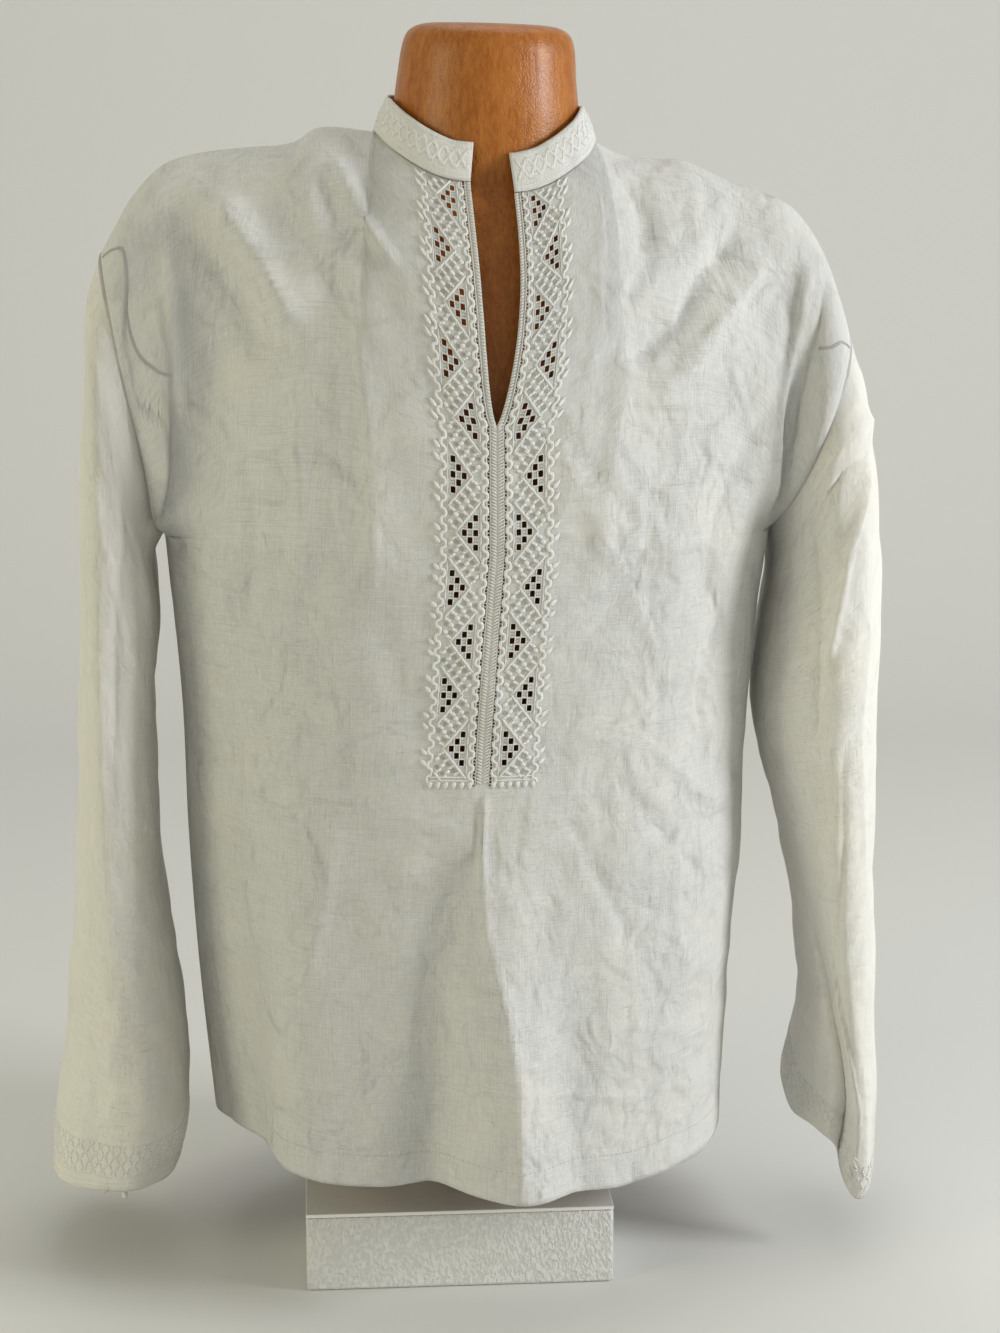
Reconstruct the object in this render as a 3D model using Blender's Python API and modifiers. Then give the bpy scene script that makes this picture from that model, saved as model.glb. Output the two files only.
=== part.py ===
"""Embroidered linen folk shirt, worn hollow on a limbless dress form with a square-based stand.

Metres, +Z up. The origin is the middle of the underside of the stand's base.
+X is the viewer's right, and the front of the shirt faces -Y.
The form and the clothes on it are drawn about their own middle, then moved onto the stand.
"""

import math
from bisect import bisect_right
from collections import namedtuple

import bpy
import bmesh
from mathutils import Matrix, Vector

# Cloth
WALL = 0.0012
COLLAR_WALL = 0.0020
SEAM_GAP = 0.0003
CHEST_HEIGHT = 0.520
FORM_OFFSET = Vector((0.006, 0.0, 0.003))

# Neck opening, as radii about the neck's axis
NECK_X = 0.0185
NECK_RADIUS = 0.0725
NECK_FRONT = 0.072
NECK_BACK = 0.0725
NECK_SHARE = 0.30
NECK_CROWN = 0.012
RIDGE_Y = 0.004

# Slit at the front of the neck
SLIT_HALF_GAP = 0.0155
SLIT_BOTTOM = 0.603
SLIT_TOP = 0.748
SLIT_EASE = 0.70
SLIT_BOW = 0.0035
SLIT_SHIFT = 0.0022
SLIT_DROP = 0.0035
SLIT_SPREAD = 0.55
SEAM_HOLD_FROM = 0.16

# Mesh steps
SHARP_ANGLE = 40
HEM_ROWS = 11
CHEST_ROWS = 9
SLIT_ROW = 3
FRONT_NECK_COLUMNS = 6
FRONT_SIDE_COLUMNS = 14
BACK_NECK_COLUMNS = 5
BACK_SIDE_COLUMNS = 10
SLEEVE_ROWS = 17
PROBE = 0.004
SIDE_CALM_FROM = 0.86
TOP_CALM_FROM = 1.80
BACK_FULLNESS = 0.8
SLEEVE_ROW_CROWDING = 1.1

# How far a sleeve's first edge stands off the body's edge, at the shoulder and under the arm
SHOULDER_STANDOFF = 0.0003
UNDERARM_STANDOFF = 0.0032
STANDOFF_SPREAD = 0.7
SHOULDER_SINK = 0.0005
SLEEVE_CALM = 0.12
FOLD_FADE = 0.25

# Cutwork, measured along the cloth
MOTIF_COUNT = 11
MOTIF_PITCH = 0.0355
MOTIF_LOWEST = 0.392
MOTIF_INNER = 0.0168
MOTIF_OUTER = 0.0254
HOLE_WIDTH = 0.0033
HOLE_HEIGHT = 0.0041
HOLE_PITCH_ACROSS = 0.0042
HOLE_PITCH_DOWN = 0.0052
HOLE_DEPTH = 0.006
CLOTH_LINE_STEPS = 200
HALVINGS = 20
CUTWORK_CHART = (
    "#..",
    ".#.",
    "#.#",
    ".#.",
    "#..",
)

# Collar
COLLAR_HEIGHT = 0.027
COLLAR_SIDE_HEIGHT = 0.0235
COLLAR_LEAN = 0.52
COLLAR_SIDE_LEAN = 0.42
COLLAR_COLUMNS = 30
SEAM_BLEND_FROM = 45.0
SLIT_SIDE_NUDGE = 0.000001
COLLAR_ROWS = 2

# Dress form and stand
FORM_CLEARANCE = 0.0016
FORM_NECK_COLUMNS = 5
FORM_SIDE_COLUMNS = 7
FORM_LOW_ROWS = 5
FORM_HIGH_ROWS = 8
FORM_SHOULDER_REACH = 0.56
FORM_SHOULDER_ROUND = 0.022
FORM_SHOULDER_POWER = 7
FORM_SHOULDER_STEPS = 8
POINTS_MEET = 0.00002
BASE_WIDTH = 0.214
BASE_HEIGHT = 0.054
BASE_EDGE = 0.002
PLATE_HEIGHT = 0.003
PLATE_EDGE = 0.0005
POST_RADIUS = 0.008
POST_SIDES = 24
FORM_BOTTOM = 0.200
FORM_NECK_RADIUS = 0.0655
FORM_NECK_FRONT = 0.061
FORM_NECK_BACK = 0.060

# Left cuff's tie: up inside the cuff's front, over and down again, from one cut end to the other
TIE_RADIUS = 0.0023
TIE_STEPS = 14
TIE_KNOTS = (
    Vector((-0.2570, -0.0632, 0.0550)),
    Vector((-0.2525, -0.0662, 0.0640)),
    Vector((-0.2500, -0.0672, 0.0710)),
    Vector((-0.2468, -0.0681, 0.0740)),
    Vector((-0.2432, -0.0688, 0.0712)),
    Vector((-0.2412, -0.0692, 0.0630)),
    Vector((-0.2392, -0.0696, 0.0530)),
)

# Rings of the body: half-loops from side to side, front and back being depths from y = 0
BodyRow = namedtuple("BodyRow", "height left right centre front back side")
SHIRT_RINGS = (
    BodyRow(0.090, -0.177, 0.186, 0.000, 0.155, 0.162, 0.010),
    BodyRow(0.200, -0.186, 0.192, 0.002, 0.149, 0.153, 0.008),
    BodyRow(0.300, -0.191, 0.200, 0.004, 0.143, 0.145, 0.006),
    BodyRow(0.400, -0.193, 0.203, 0.009, 0.138, 0.137, 0.004),
    BodyRow(0.520, -0.202, 0.216, 0.0180, 0.131, 0.126, 0.002),
)
FORM_RINGS = (
    BodyRow(0.200, -0.150, 0.136, -0.007, 0.092, 0.098, 0.002),
    BodyRow(0.320, -0.142, 0.140, -0.001, 0.094, 0.094, 0.002),
    BodyRow(0.420, -0.148, 0.156, 0.004, 0.104, 0.098, 0.002),
    BodyRow(0.520, -0.160, 0.180, 0.010, 0.113, 0.102, 0.002),
)

# Shoulder lines from the neck to the top of the armhole; share is the part of the way
ShoulderRow = namedtuple("ShoulderRow", "share x z")
LEFT_SHOULDER = (
    ShoulderRow(0.00, -0.054, 0.784),
    ShoulderRow(0.12, -0.082, 0.7875),
    ShoulderRow(0.175, -0.095, 0.7865),
    ShoulderRow(0.235, -0.107, 0.7785),
    ShoulderRow(0.30, -0.120, 0.7755),
    ShoulderRow(0.38, -0.137, 0.7745),
    ShoulderRow(0.56, -0.176, 0.770),
    ShoulderRow(0.67, -0.198, 0.762),
    ShoulderRow(0.79, -0.217, 0.743),
    ShoulderRow(0.92, -0.231, 0.720),
    ShoulderRow(1.00, -0.240, 0.704),
)
RIGHT_SHOULDER = (
    ShoulderRow(0.00, 0.091, 0.7785),
    ShoulderRow(0.09, 0.111, 0.7690),
    ShoulderRow(0.17, 0.131, 0.7660),
    ShoulderRow(0.27, 0.153, 0.7650),
    ShoulderRow(0.38, 0.180, 0.7535),
    ShoulderRow(0.57, 0.222, 0.738),
    ShoulderRow(0.67, 0.239, 0.722),
    ShoulderRow(0.77, 0.251, 0.702),
    ShoulderRow(0.88, 0.260, 0.678),
    ShoulderRow(1.00, 0.268, 0.651),
)

# Neck of the form, as level rings
NeckRow = namedtuple("NeckRow", "height x radius depth")
FORM_NECK = (
    NeckRow(0.8000, 0.0195, 0.0625, 0.0580),
    NeckRow(0.8200, 0.0200, 0.0600, 0.0560),
    NeckRow(0.8410, 0.0212, 0.0575, 0.0540),
    NeckRow(0.8500, 0.0216, 0.0535, 0.0500),
    NeckRow(0.8545, 0.0218, 0.0440, 0.0410),
)
FORM_NECK_TOP = 0.8560
FORM_NECK_TILT = 0.030

# Bellies of the armhole loops: how far the cloth's edge stands forward and back of the side line
ARMHOLE_FRONT = {-1: 0.058, 1: 0.074}
ARMHOLE_BACK = {-1: 0.062, 1: 0.076}
ARMHOLE_BLEND = 0.55

# Folds: soft ridges (deeper than 0) and troughs (less than 0) along a line from top to foot
Fold = namedtuple("Fold", "top_x top_z foot_x foot_z width top_depth foot_depth")
FRONT_FOLDS = (
    Fold(-0.160, 0.738, -0.108, 0.664, 0.013, 0.004, 0.003),
    Fold(-0.172, 0.722, -0.128, 0.655, 0.012, -0.005, -0.003),
    Fold(-0.192, 0.670, -0.204, 0.545, 0.020, 0.012, 0.016),
    Fold(-0.160, 0.640, -0.170, 0.560, 0.016, -0.006, -0.005),
    Fold(-0.066, 0.700, -0.060, 0.520, 0.010, 0.002, 0.002),
    Fold(0.190, 0.722, 0.094, 0.640, 0.014, -0.005, -0.004),
    Fold(0.206, 0.690, 0.130, 0.615, 0.016, 0.004, 0.003),
    Fold(0.200, 0.640, 0.205, 0.560, 0.018, 0.008, 0.009),
    Fold(0.104, 0.640, 0.084, 0.500, 0.009, 0.002, 0.002),
    Fold(0.170, 0.520, 0.160, 0.330, 0.020, -0.003, -0.005),
    Fold(0.008, 0.350, 0.032, 0.080, 0.030, 0.000, 0.034),
    Fold(-0.010, 0.340, -0.030, 0.080, 0.022, 0.000, -0.020),
    Fold(-0.120, 0.400, -0.108, 0.080, 0.030, 0.002, 0.013),
    Fold(-0.156, 0.420, -0.156, 0.080, 0.024, 0.000, -0.016),
    Fold(0.100, 0.330, 0.088, 0.080, 0.024, 0.000, 0.008),
    Fold(0.160, 0.420, 0.146, 0.080, 0.034, 0.000, 0.011),
)
BACK_FOLDS = (
    Fold(-0.120, 0.720, -0.090, 0.600, 0.018, 0.003, 0.002),
    Fold(0.150, 0.710, 0.110, 0.600, 0.018, 0.003, 0.002),
    Fold(-0.170, 0.640, -0.150, 0.480, 0.020, 0.006, 0.004),
    Fold(0.180, 0.620, 0.165, 0.480, 0.020, 0.006, 0.004),
    Fold(-0.050, 0.560, -0.075, 0.080, 0.028, 0.002, 0.014),
    Fold(0.000, 0.520, 0.000, 0.080, 0.026, -0.002, -0.014),
    Fold(0.055, 0.560, 0.070, 0.080, 0.028, 0.002, 0.012),
    Fold(-0.120, 0.450, -0.128, 0.080, 0.020, -0.002, -0.008),
    Fold(0.125, 0.450, 0.132, 0.080, 0.022, -0.002, -0.008),
)

# Places where the front's hem hangs lower, or higher if the depth is less than 0
HemDrop = namedtuple("HemDrop", "x width depth")
HEM_DROPS = (
    HemDrop(0.115, 0.045, 0.008),
    HemDrop(0.172, 0.022, 0.005),
    HemDrop(-0.128, 0.028, -0.005),
)
HEM_DROP_POWER = 3

# Sleeve sections: an outer, inner, front and back point each, joined by a smooth loop
SleeveRow = namedtuple("SleeveRow", "share outer_x inner_x outer_z inner_z front_z back_z front_y back_y")
LEFT_SLEEVE = (
    SleeveRow(0.06, -0.2500, -0.2075, 0.672, 0.500, 0.590, 0.592, -0.068, 0.070),
    SleeveRow(0.16, -0.2535, -0.2065, 0.608, 0.468, 0.535, 0.538, -0.079, 0.081),
    SleeveRow(0.26, -0.2590, -0.2115, 0.540, 0.430, 0.482, 0.485, -0.085, 0.088),
    SleeveRow(0.38, -0.2610, -0.2145, 0.455, 0.375, 0.412, 0.415, -0.087, 0.091),
    SleeveRow(0.50, -0.2650, -0.2140, 0.370, 0.310, 0.338, 0.340, -0.086, 0.090),
    SleeveRow(0.62, -0.2690, -0.2095, 0.290, 0.250, 0.266, 0.268, -0.083, 0.087),
    SleeveRow(0.74, -0.2760, -0.2015, 0.216, 0.194, 0.202, 0.204, -0.079, 0.083),
    SleeveRow(0.86, -0.2830, -0.1970, 0.146, 0.138, 0.140, 0.142, -0.076, 0.079),
    SleeveRow(0.94, -0.2900, -0.1980, 0.096, 0.098, 0.096, 0.098, -0.073, 0.076),
    SleeveRow(1.00, -0.2945, -0.2040, 0.054, 0.062, 0.062, 0.064, -0.071, 0.073),
)
RIGHT_SLEEVE = (
    SleeveRow(0.06, 0.2750, 0.2195, 0.624, 0.502, 0.570, 0.572, -0.080, 0.082),
    SleeveRow(0.16, 0.2865, 0.2190, 0.565, 0.470, 0.520, 0.522, -0.087, 0.090),
    SleeveRow(0.26, 0.2925, 0.2130, 0.500, 0.430, 0.466, 0.468, -0.090, 0.093),
    SleeveRow(0.38, 0.2945, 0.2115, 0.415, 0.374, 0.394, 0.396, -0.088, 0.092),
    SleeveRow(0.50, 0.2945, 0.2255, 0.335, 0.322, 0.326, 0.330, -0.085, 0.089),
    SleeveRow(0.62, 0.2950, 0.2375, 0.264, 0.268, 0.258, 0.270, -0.081, 0.086),
    SleeveRow(0.74, 0.2985, 0.2460, 0.192, 0.214, 0.188, 0.208, -0.077, 0.082),
    SleeveRow(0.86, 0.3020, 0.2500, 0.126, 0.164, 0.120, 0.152, -0.075, 0.078),
    SleeveRow(0.94, 0.3015, 0.2460, 0.096, 0.124, 0.098, 0.122, -0.072, 0.074),
    SleeveRow(1.00, 0.3005, 0.2385, 0.076, 0.098, 0.080, 0.098, -0.070, 0.070),
)

# Tongues of cloth hanging lower at the cuffs
CuffDrop = namedtuple("CuffDrop", "angle width top_share depth")
CUFF_DROPS = {
    -1: (CuffDrop(100, 40, 0.80, 0.002), CuffDrop(146, 24, 0.80, 0.005)),
    1: (CuffDrop(68, 22, 0.80, 0.038), CuffDrop(162, 20, 0.80, 0.008)),
}

# Sleeve folds: angle 0 faces outward, 90 forward, 180 to the body; shares run down the sleeve
SleeveFold = namedtuple("SleeveFold", "top_angle foot_angle top_share foot_share width top_depth foot_depth")
LEFT_SLEEVE_FOLDS = (
    SleeveFold(60, 75, 0.10, 0.45, 16, 0.004, 0.003),
    SleeveFold(110, 95, 0.12, 0.50, 14, -0.005, -0.003),
    SleeveFold(250, 262, 0.10, 0.60, 18, -0.005, -0.004),
    SleeveFold(40, 70, 0.55, 0.95, 16, -0.002, -0.005),
    SleeveFold(120, 112, 0.60, 1.00, 16, 0.003, 0.005),
    SleeveFold(300, 290, 0.45, 1.00, 18, 0.003, 0.005),
)
RIGHT_SLEEVE_FOLDS = (
    SleeveFold(55, 70, 0.06, 0.35, 16, 0.004, 0.003),
    SleeveFold(120, 108, 0.08, 0.45, 15, -0.005, -0.004),
    SleeveFold(255, 265, 0.10, 0.60, 18, -0.005, -0.004),
    SleeveFold(140, 92, 0.66, 1.00, 13, -0.002, -0.014),
    SleeveFold(105, 62, 0.66, 1.00, 15, 0.002, 0.007),
    SleeveFold(300, 285, 0.45, 1.00, 18, 0.003, 0.006),
)


# Objects, collections and materials

def clear_scene():
    for obj in list(bpy.data.objects):
        bpy.data.objects.remove(obj, do_unlink=True)


def new_collection(name):
    collection = bpy.data.collections.new(name)
    bpy.context.scene.collection.children.link(collection)
    return collection


def new_material(name, colour, roughness, metallic=0.0):
    material = bpy.data.materials.new(name)
    material.use_nodes = True
    shader = material.node_tree.nodes["Principled BSDF"]
    shader.inputs["Base Color"].default_value = (*colour, 1.0)
    shader.inputs["Roughness"].default_value = roughness
    shader.inputs["Metallic"].default_value = metallic
    return material


def new_object(name, work, collection, material):
    """An object from a bmesh, shaded smooth but for its sharp edges."""
    mesh = bpy.data.meshes.new(name)
    work.to_mesh(mesh)
    work.free()
    obj = bpy.data.objects.new(name, mesh)
    collection.objects.link(obj)
    mesh.materials.append(material)
    mesh.shade_smooth()
    mesh.set_sharp_from_angle(angle=math.radians(SHARP_ANGLE))
    return obj


def thicken(obj, wall):
    solidify = obj.modifiers.new("cloth wall", "SOLIDIFY")
    solidify.thickness = wall
    solidify.offset = 1.0
    solidify.use_even_offset = False
    solidify.use_quality_normals = True


# Smooth tables and lines

def clamp(value, low, high):
    return max(low, min(high, value))


def smooth(value):
    value = clamp(value, 0.0, 1.0)
    return value * value * (3.0 - 2.0 * value)


def mix(start, end, share):
    return start + (end - start) * share


def slope(keys, values, index):
    low = max(index - 1, 0)
    high = min(index + 1, len(keys) - 1)
    return (values[high] - values[low]) * (1.0 / (keys[high] - keys[low]))


def curve_at(keys, values, key):
    """Value at key of a smooth curve through the values; they may be numbers or vectors."""
    key = clamp(key, keys[0], keys[-1])
    index = min(bisect_right(keys, key) - 1, len(keys) - 2)
    span = keys[index + 1] - keys[index]
    t = (key - keys[index]) / span
    first = slope(keys, values, index) * span
    second = slope(keys, values, index + 1) * span
    rise = t * t * (3.0 - 2.0 * t)
    return (values[index] * (1.0 - rise) + values[index + 1] * rise
            + first * (t * (1.0 - t) ** 2) - second * (t * t * (1.0 - t)))


def row_at(rows, key):
    """The row of a table at key, each column running smoothly through the rows."""
    keys = [row[0] for row in rows]
    columns = zip(*rows)
    return type(rows[0])(*(curve_at(keys, column, key) for column in columns))


# The trunk surface, shared by the shirt and the form under it

Trunk = namedtuple("Trunk", "rings shoulders neck_radius neck_front neck_back armhole_front armhole_back")


def side_of(across):
    return 1 if across > 0 else -1


def ring_point(trunk, face, across, height):
    """Point of a level half-loop; face is -1 in front and 1 behind, across is -1 to 1."""
    row = row_at(trunk.rings, height)
    angle = across * math.pi / 2
    middle = (row.left + row.right) / 2
    half = (row.right - row.left) / 2
    depth = row.front if face < 0 else row.back
    x = middle + half * math.sin(angle) + (row.centre - middle) * math.cos(angle) ** 2
    y = row.side + (face * depth - row.side) * math.cos(angle)
    return Vector((x, y, height))


def shoulder_top(trunk, across):
    """End of a column on the shoulder line, or on its run across the neck opening."""
    left, right = trunk.shoulders
    if abs(across) > NECK_SHARE:
        share = (abs(across) - NECK_SHARE) / (1.0 - NECK_SHARE)
        row = row_at(right if across > 0 else left, share)
        return row.x, row.z
    angle = across / NECK_SHARE * math.pi / 2
    height = mix(left[0].z, right[0].z, (across / NECK_SHARE + 1) / 2)
    return NECK_X + trunk.neck_radius * math.sin(angle), height + NECK_CROWN * math.cos(angle)


def trunk_point(trunk, face, across, up):
    """Point of the trunk: up is 0 at the hem, 1 at the chest and 2 at the shoulder or neckline."""
    hem = trunk.rings[0].height
    if up <= 1.0:
        return ring_point(trunk, face, across, mix(hem, CHEST_HEIGHT, up))
    base = ring_point(trunk, face, across, CHEST_HEIGHT)
    top_x, top_z = shoulder_top(trunk, across)
    fullness = 1.0 if face < 0 else BACK_FULLNESS
    last = math.pi / 2
    if abs(across) < NECK_SHARE:
        neck_depth = trunk.neck_front if face < 0 else trunk.neck_back
        neck_y = neck_depth * math.cos(across / NECK_SHARE * math.pi / 2)
        last = math.acos(clamp(neck_y / (abs(base.y) + RIDGE_Y), 0.0, 1.0) ** (1.0 / fullness))
    turn = (up - 1.0) * last
    lift = math.sin(turn)
    edge = smooth((abs(across) - ARMHOLE_BLEND) / (1.0 - ARMHOLE_BLEND))
    armhole = trunk.armhole_front if face < 0 else trunk.armhole_back
    belly = armhole[side_of(across)] * edge ** 2
    x = mix(base.x, top_x, (lift / math.sin(last)) ** (1.0 + edge))
    y = RIDGE_Y + (base.y - RIDGE_Y) * math.cos(turn) ** fullness + face * belly * math.sin(2.0 * turn)
    z = mix(base.z, top_z, lift ** mix(fullness, 2.0, edge))
    return Vector((x, y, z))


SHIRT = Trunk(SHIRT_RINGS, (LEFT_SHOULDER, RIGHT_SHOULDER), NECK_RADIUS, NECK_FRONT, NECK_BACK,
              ARMHOLE_FRONT, ARMHOLE_BACK)


# Shirt panels

def slit_share(z):
    return clamp((z - SLIT_BOTTOM) / (SLIT_TOP - SLIT_BOTTOM), 0.0, 1.0)


def fold_push(folds, x, z):
    """How far the folds push the cloth out at a place seen from the front or back."""
    push = 0.0
    for fold in folds:
        run_x = fold.foot_x - fold.top_x
        run_z = fold.foot_z - fold.top_z
        length = math.hypot(run_x, run_z)
        share = ((x - fold.top_x) * run_x + (z - fold.top_z) * run_z) / length ** 2
        along = clamp(share, 0.0, 1.0)
        off = math.hypot(x - fold.top_x - run_x * along, z - fold.top_z - run_z * along)
        push += mix(fold.top_depth, fold.foot_depth, along) * math.exp(-(off / fold.width) ** 2)
    return push


def surface_normal(place, across, up):
    """Outward normal of a panel function, from points close around."""
    left = place(max(across - PROBE, -1.0), up)
    right = place(min(across + PROBE, 1.0), up)
    low = place(across, max(up - PROBE, 0.0))
    high = place(across, min(up + PROBE, 2.0))
    return (right - left).cross(high - low).normalized()


def panel_point(face, across, up):
    """Point of the front or back panel with its folds, set half a seam gap off the side lines."""
    folds = FRONT_FOLDS if face < 0 else BACK_FOLDS

    def plain(a, b):
        return trunk_point(SHIRT, face, a, b)

    point = plain(across, up)
    calm_side = 1.0 - smooth((abs(across) - SIDE_CALM_FROM) / (1.0 - SIDE_CALM_FROM))
    calm_top = 1.0 - smooth((up - TOP_CALM_FROM) / (2.0 - TOP_CALM_FROM))
    push = fold_push(folds, point.x, point.z) * calm_side * calm_top
    normal = surface_normal(plain, across, up) * -face
    point += normal * push
    point.y += face * SEAM_GAP / 2
    return point


def front_point(across, up, side):
    """Front panel point with its uneven hem, and its slit drawn open to the side."""
    point = panel_point(-1, across, up)
    reach = max(0.0, 1.0 - up) ** HEM_DROP_POWER
    for drop in HEM_DROPS:
        point.z -= drop.depth * reach * math.exp(-((point.x - drop.x) / drop.width) ** 2)
    share = slit_share(point.z)
    spread = max(0.0, 1.0 - abs(across) / SLIT_SPREAD) ** 2
    near_seam = smooth((abs(across) - SEAM_HOLD_FROM) / (NECK_SHARE - SEAM_HOLD_FROM))
    spread *= 1.0 - near_seam * smooth((up - TOP_CALM_FROM) / (2.0 - TOP_CALM_FROM))
    gap = SLIT_HALF_GAP * math.sin(math.pi / 2 * share ** SLIT_EASE)
    bow = SLIT_BOW * math.sin(math.pi * share) + SLIT_SHIFT * smooth(share)
    point.x += (side * gap + bow) * spread
    point.z -= side * SLIT_DROP * smooth(share) * spread
    return point


def across_steps(neck_columns, side_columns):
    """Column places from one side to the other, evenly within the neck and within each shoulder."""
    half = [NECK_SHARE * i / neck_columns for i in range(neck_columns)]
    half += [mix(NECK_SHARE, 1.0, i / side_columns) for i in range(side_columns + 1)]
    return [-a for a in reversed(half[1:])] + half


def up_steps(low_rows, high_rows):
    low = [i / low_rows for i in range(low_rows)]
    return low + [1.0 + i / high_rows for i in range(high_rows + 1)]


def grid_faces(work, grid, facing_front):
    for low, high in zip(grid, grid[1:]):
        for i in range(len(low) - 1):
            corners = (low[i], low[i + 1], high[i + 1], high[i])
            work.faces.new(corners if facing_front else corners[::-1])


def build_front(collection, linen):
    work = bmesh.new()
    steps = across_steps(FRONT_NECK_COLUMNS, FRONT_SIDE_COLUMNS)
    middle = len(steps) // 2
    left_grid = []
    right_grid = []
    for row, up in enumerate(up_steps(HEM_ROWS, CHEST_ROWS)):
        left = [work.verts.new(front_point(a, up, -1)) for a in steps[:middle]]
        right = [work.verts.new(front_point(a, up, 1)) for a in steps[middle + 1:]]
        if row <= HEM_ROWS + SLIT_ROW:
            shared = work.verts.new(front_point(0.0, up, 0))
            edges = (shared, shared)
        else:
            edges = tuple(work.verts.new(front_point(0.0, up, side)) for side in (-1, 1))
        left_grid.append(left + [edges[0]])
        right_grid.append([edges[1]] + right)
    grid_faces(work, left_grid, True)
    grid_faces(work, right_grid, True)
    front = new_object("shirt_front", work, collection, linen)
    thicken(front, WALL)
    return front


def build_back(collection, linen):
    work = bmesh.new()
    steps = across_steps(BACK_NECK_COLUMNS, BACK_SIDE_COLUMNS)
    grid = [[work.verts.new(panel_point(1, a, up)) for a in steps] for up in up_steps(HEM_ROWS, CHEST_ROWS)]
    grid_faces(work, grid, False)
    back = new_object("shirt_back", work, collection, linen)
    thicken(back, WALL)


# Cutwork

ClothLine = namedtuple("ClothLine", "ups points lengths")


def cloth_line():
    """Places up the front's middle, each with the length of cloth from the hem."""
    ups = [i / CLOTH_LINE_STEPS for i in range(2 * CLOTH_LINE_STEPS + 1)]
    points = [trunk_point(SHIRT, -1, 0.0, up) for up in ups]
    lengths = [0.0]
    for low, high in zip(points, points[1:]):
        lengths.append(lengths[-1] + (high - low).length)
    return ClothLine(ups, points, lengths)


def motif_lengths(line):
    """Cloth lengths of the motifs' middles, a pitch apart."""
    first = next(length for length, point in zip(line.lengths, line.points) if point.z >= MOTIF_LOWEST)
    return [first + MOTIF_PITCH * i for i in range(MOTIF_COUNT)]


def up_at(line, length):
    """Up value at a length of cloth from the hem."""
    index = clamp(bisect_right(line.lengths, length), 1, len(line.lengths) - 1)
    share = (length - line.lengths[index - 1]) / (line.lengths[index] - line.lengths[index - 1])
    return mix(line.ups[index - 1], line.ups[index], share)


def across_at(offset, up):
    """Column at an offset from the front's middle line, found by halving."""
    centre = trunk_point(SHIRT, -1, 0.0, up).x
    low, high = 0.0, SLIT_SPREAD
    for _ in range(HALVINGS):
        guess = (low + high) / 2
        found = abs(trunk_point(SHIRT, -1, math.copysign(guess, offset), up).x - centre)
        low, high = (guess, high) if found < abs(offset) else (low, guess)
    return math.copysign(low, offset)


def hole_frame(offset, up):
    """Matrix of a hole: x across the cloth, z up it and y through it."""
    side = side_of(offset)
    across = across_at(offset, up)

    def place(a, b):
        return front_point(a, b, side)

    normal = surface_normal(place, across, up)
    upward = (place(across, up + PROBE) - place(across, up - PROBE)).normalized()
    sideways = upward.cross(normal).normalized()
    turn = Matrix((sideways, -normal, normal.cross(sideways))).transposed()
    return Matrix.Translation(place(across, up)) @ turn.to_4x4()


def hole_places():
    """Offset and up value of each cutwork hole."""
    rows = len(CUTWORK_CHART)
    columns = len(CUTWORK_CHART[0])
    cloth = cloth_line()
    for motif, length in enumerate(motif_lengths(cloth)):
        points_out = motif % 2 == 0
        centre = MOTIF_INNER if points_out else MOTIF_OUTER
        for side in (-1, 1):
            for row, line in enumerate(CUTWORK_CHART):
                for column, mark in enumerate(line):
                    if mark != "#":
                        continue
                    step = column - (columns - 1) / 2
                    offset = centre + HOLE_PITCH_ACROSS * (step if points_out else -step)
                    climb = HOLE_PITCH_DOWN * ((rows - 1) / 2 - row)
                    yield side * offset, up_at(cloth, length + climb)


def cut_cutwork(front, cutters):
    work = bmesh.new()
    size = Matrix.Diagonal((HOLE_WIDTH, HOLE_DEPTH, HOLE_HEIGHT, 1.0))
    for offset, up in hole_places():
        bmesh.ops.create_cube(work, size=1.0, matrix=hole_frame(offset, up) @ size)
    mesh = bpy.data.meshes.new("cutwork_cutter")
    work.to_mesh(mesh)
    work.free()
    cutter = bpy.data.objects.new("cutwork_cutter", mesh)
    cutters.objects.link(cutter)
    cutter.hide_render = True
    cutter.display_type = "WIRE"
    cut = front.modifiers.new("cutwork", "BOOLEAN")
    cut.operation = "DIFFERENCE"
    cut.solver = "EXACT"
    cut.object = cutter


# Collar

def neckline_point(angle):
    """Point on the neckline with the cloth's normal; angle is 0 behind and 180 at the slit."""
    turn = 180.0 - abs(angle) if abs(angle) > 90.0 else abs(angle)
    across = math.copysign(max(turn / 90.0 * NECK_SHARE, SLIT_SIDE_NUDGE), angle)
    side = side_of(across)

    def front_place(a, b):
        return front_point(a, b, side)

    def back_place(a, b):
        return panel_point(1, a, b)

    share = smooth((abs(angle) - SEAM_BLEND_FROM) / (180.0 - 2.0 * SEAM_BLEND_FROM))
    normal = surface_normal(front_place, across, 2.0) * share
    normal -= surface_normal(back_place, across, 2.0) * (1.0 - share)
    place = front_place if abs(angle) > 90.0 else back_place
    return place(across, 2.0), normal.normalized()


def collar_line():
    """Neckline points from the collar's left front end, round the back, to its right front end."""
    return [neckline_point(mix(-180.0, 180.0, i / COLLAR_COLUMNS)) for i in range(COLLAR_COLUMNS + 1)]


def build_collar(collection, linen):
    work = bmesh.new()
    rows = [[] for _ in range(COLLAR_ROWS + 1)]
    for point, normal in collar_line():
        base = point + normal * (WALL + SEAM_GAP)
        inward = Vector((NECK_X - base.x, -base.y, 0.0)).normalized()
        sideways = inward.x ** 2
        lean = mix(COLLAR_LEAN, COLLAR_SIDE_LEAN, sideways)
        rise = (Vector((0.0, 0.0, 1.0)) + inward * lean).normalized()
        height = mix(COLLAR_HEIGHT, COLLAR_SIDE_HEIGHT, sideways)
        for j, row in enumerate(rows):
            row.append(work.verts.new(base + rise * (height * j / COLLAR_ROWS)))
    grid_faces(work, rows, False)
    collar = new_object("collar", work, collection, linen)
    thicken(collar, COLLAR_WALL)


# Sleeves

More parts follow.
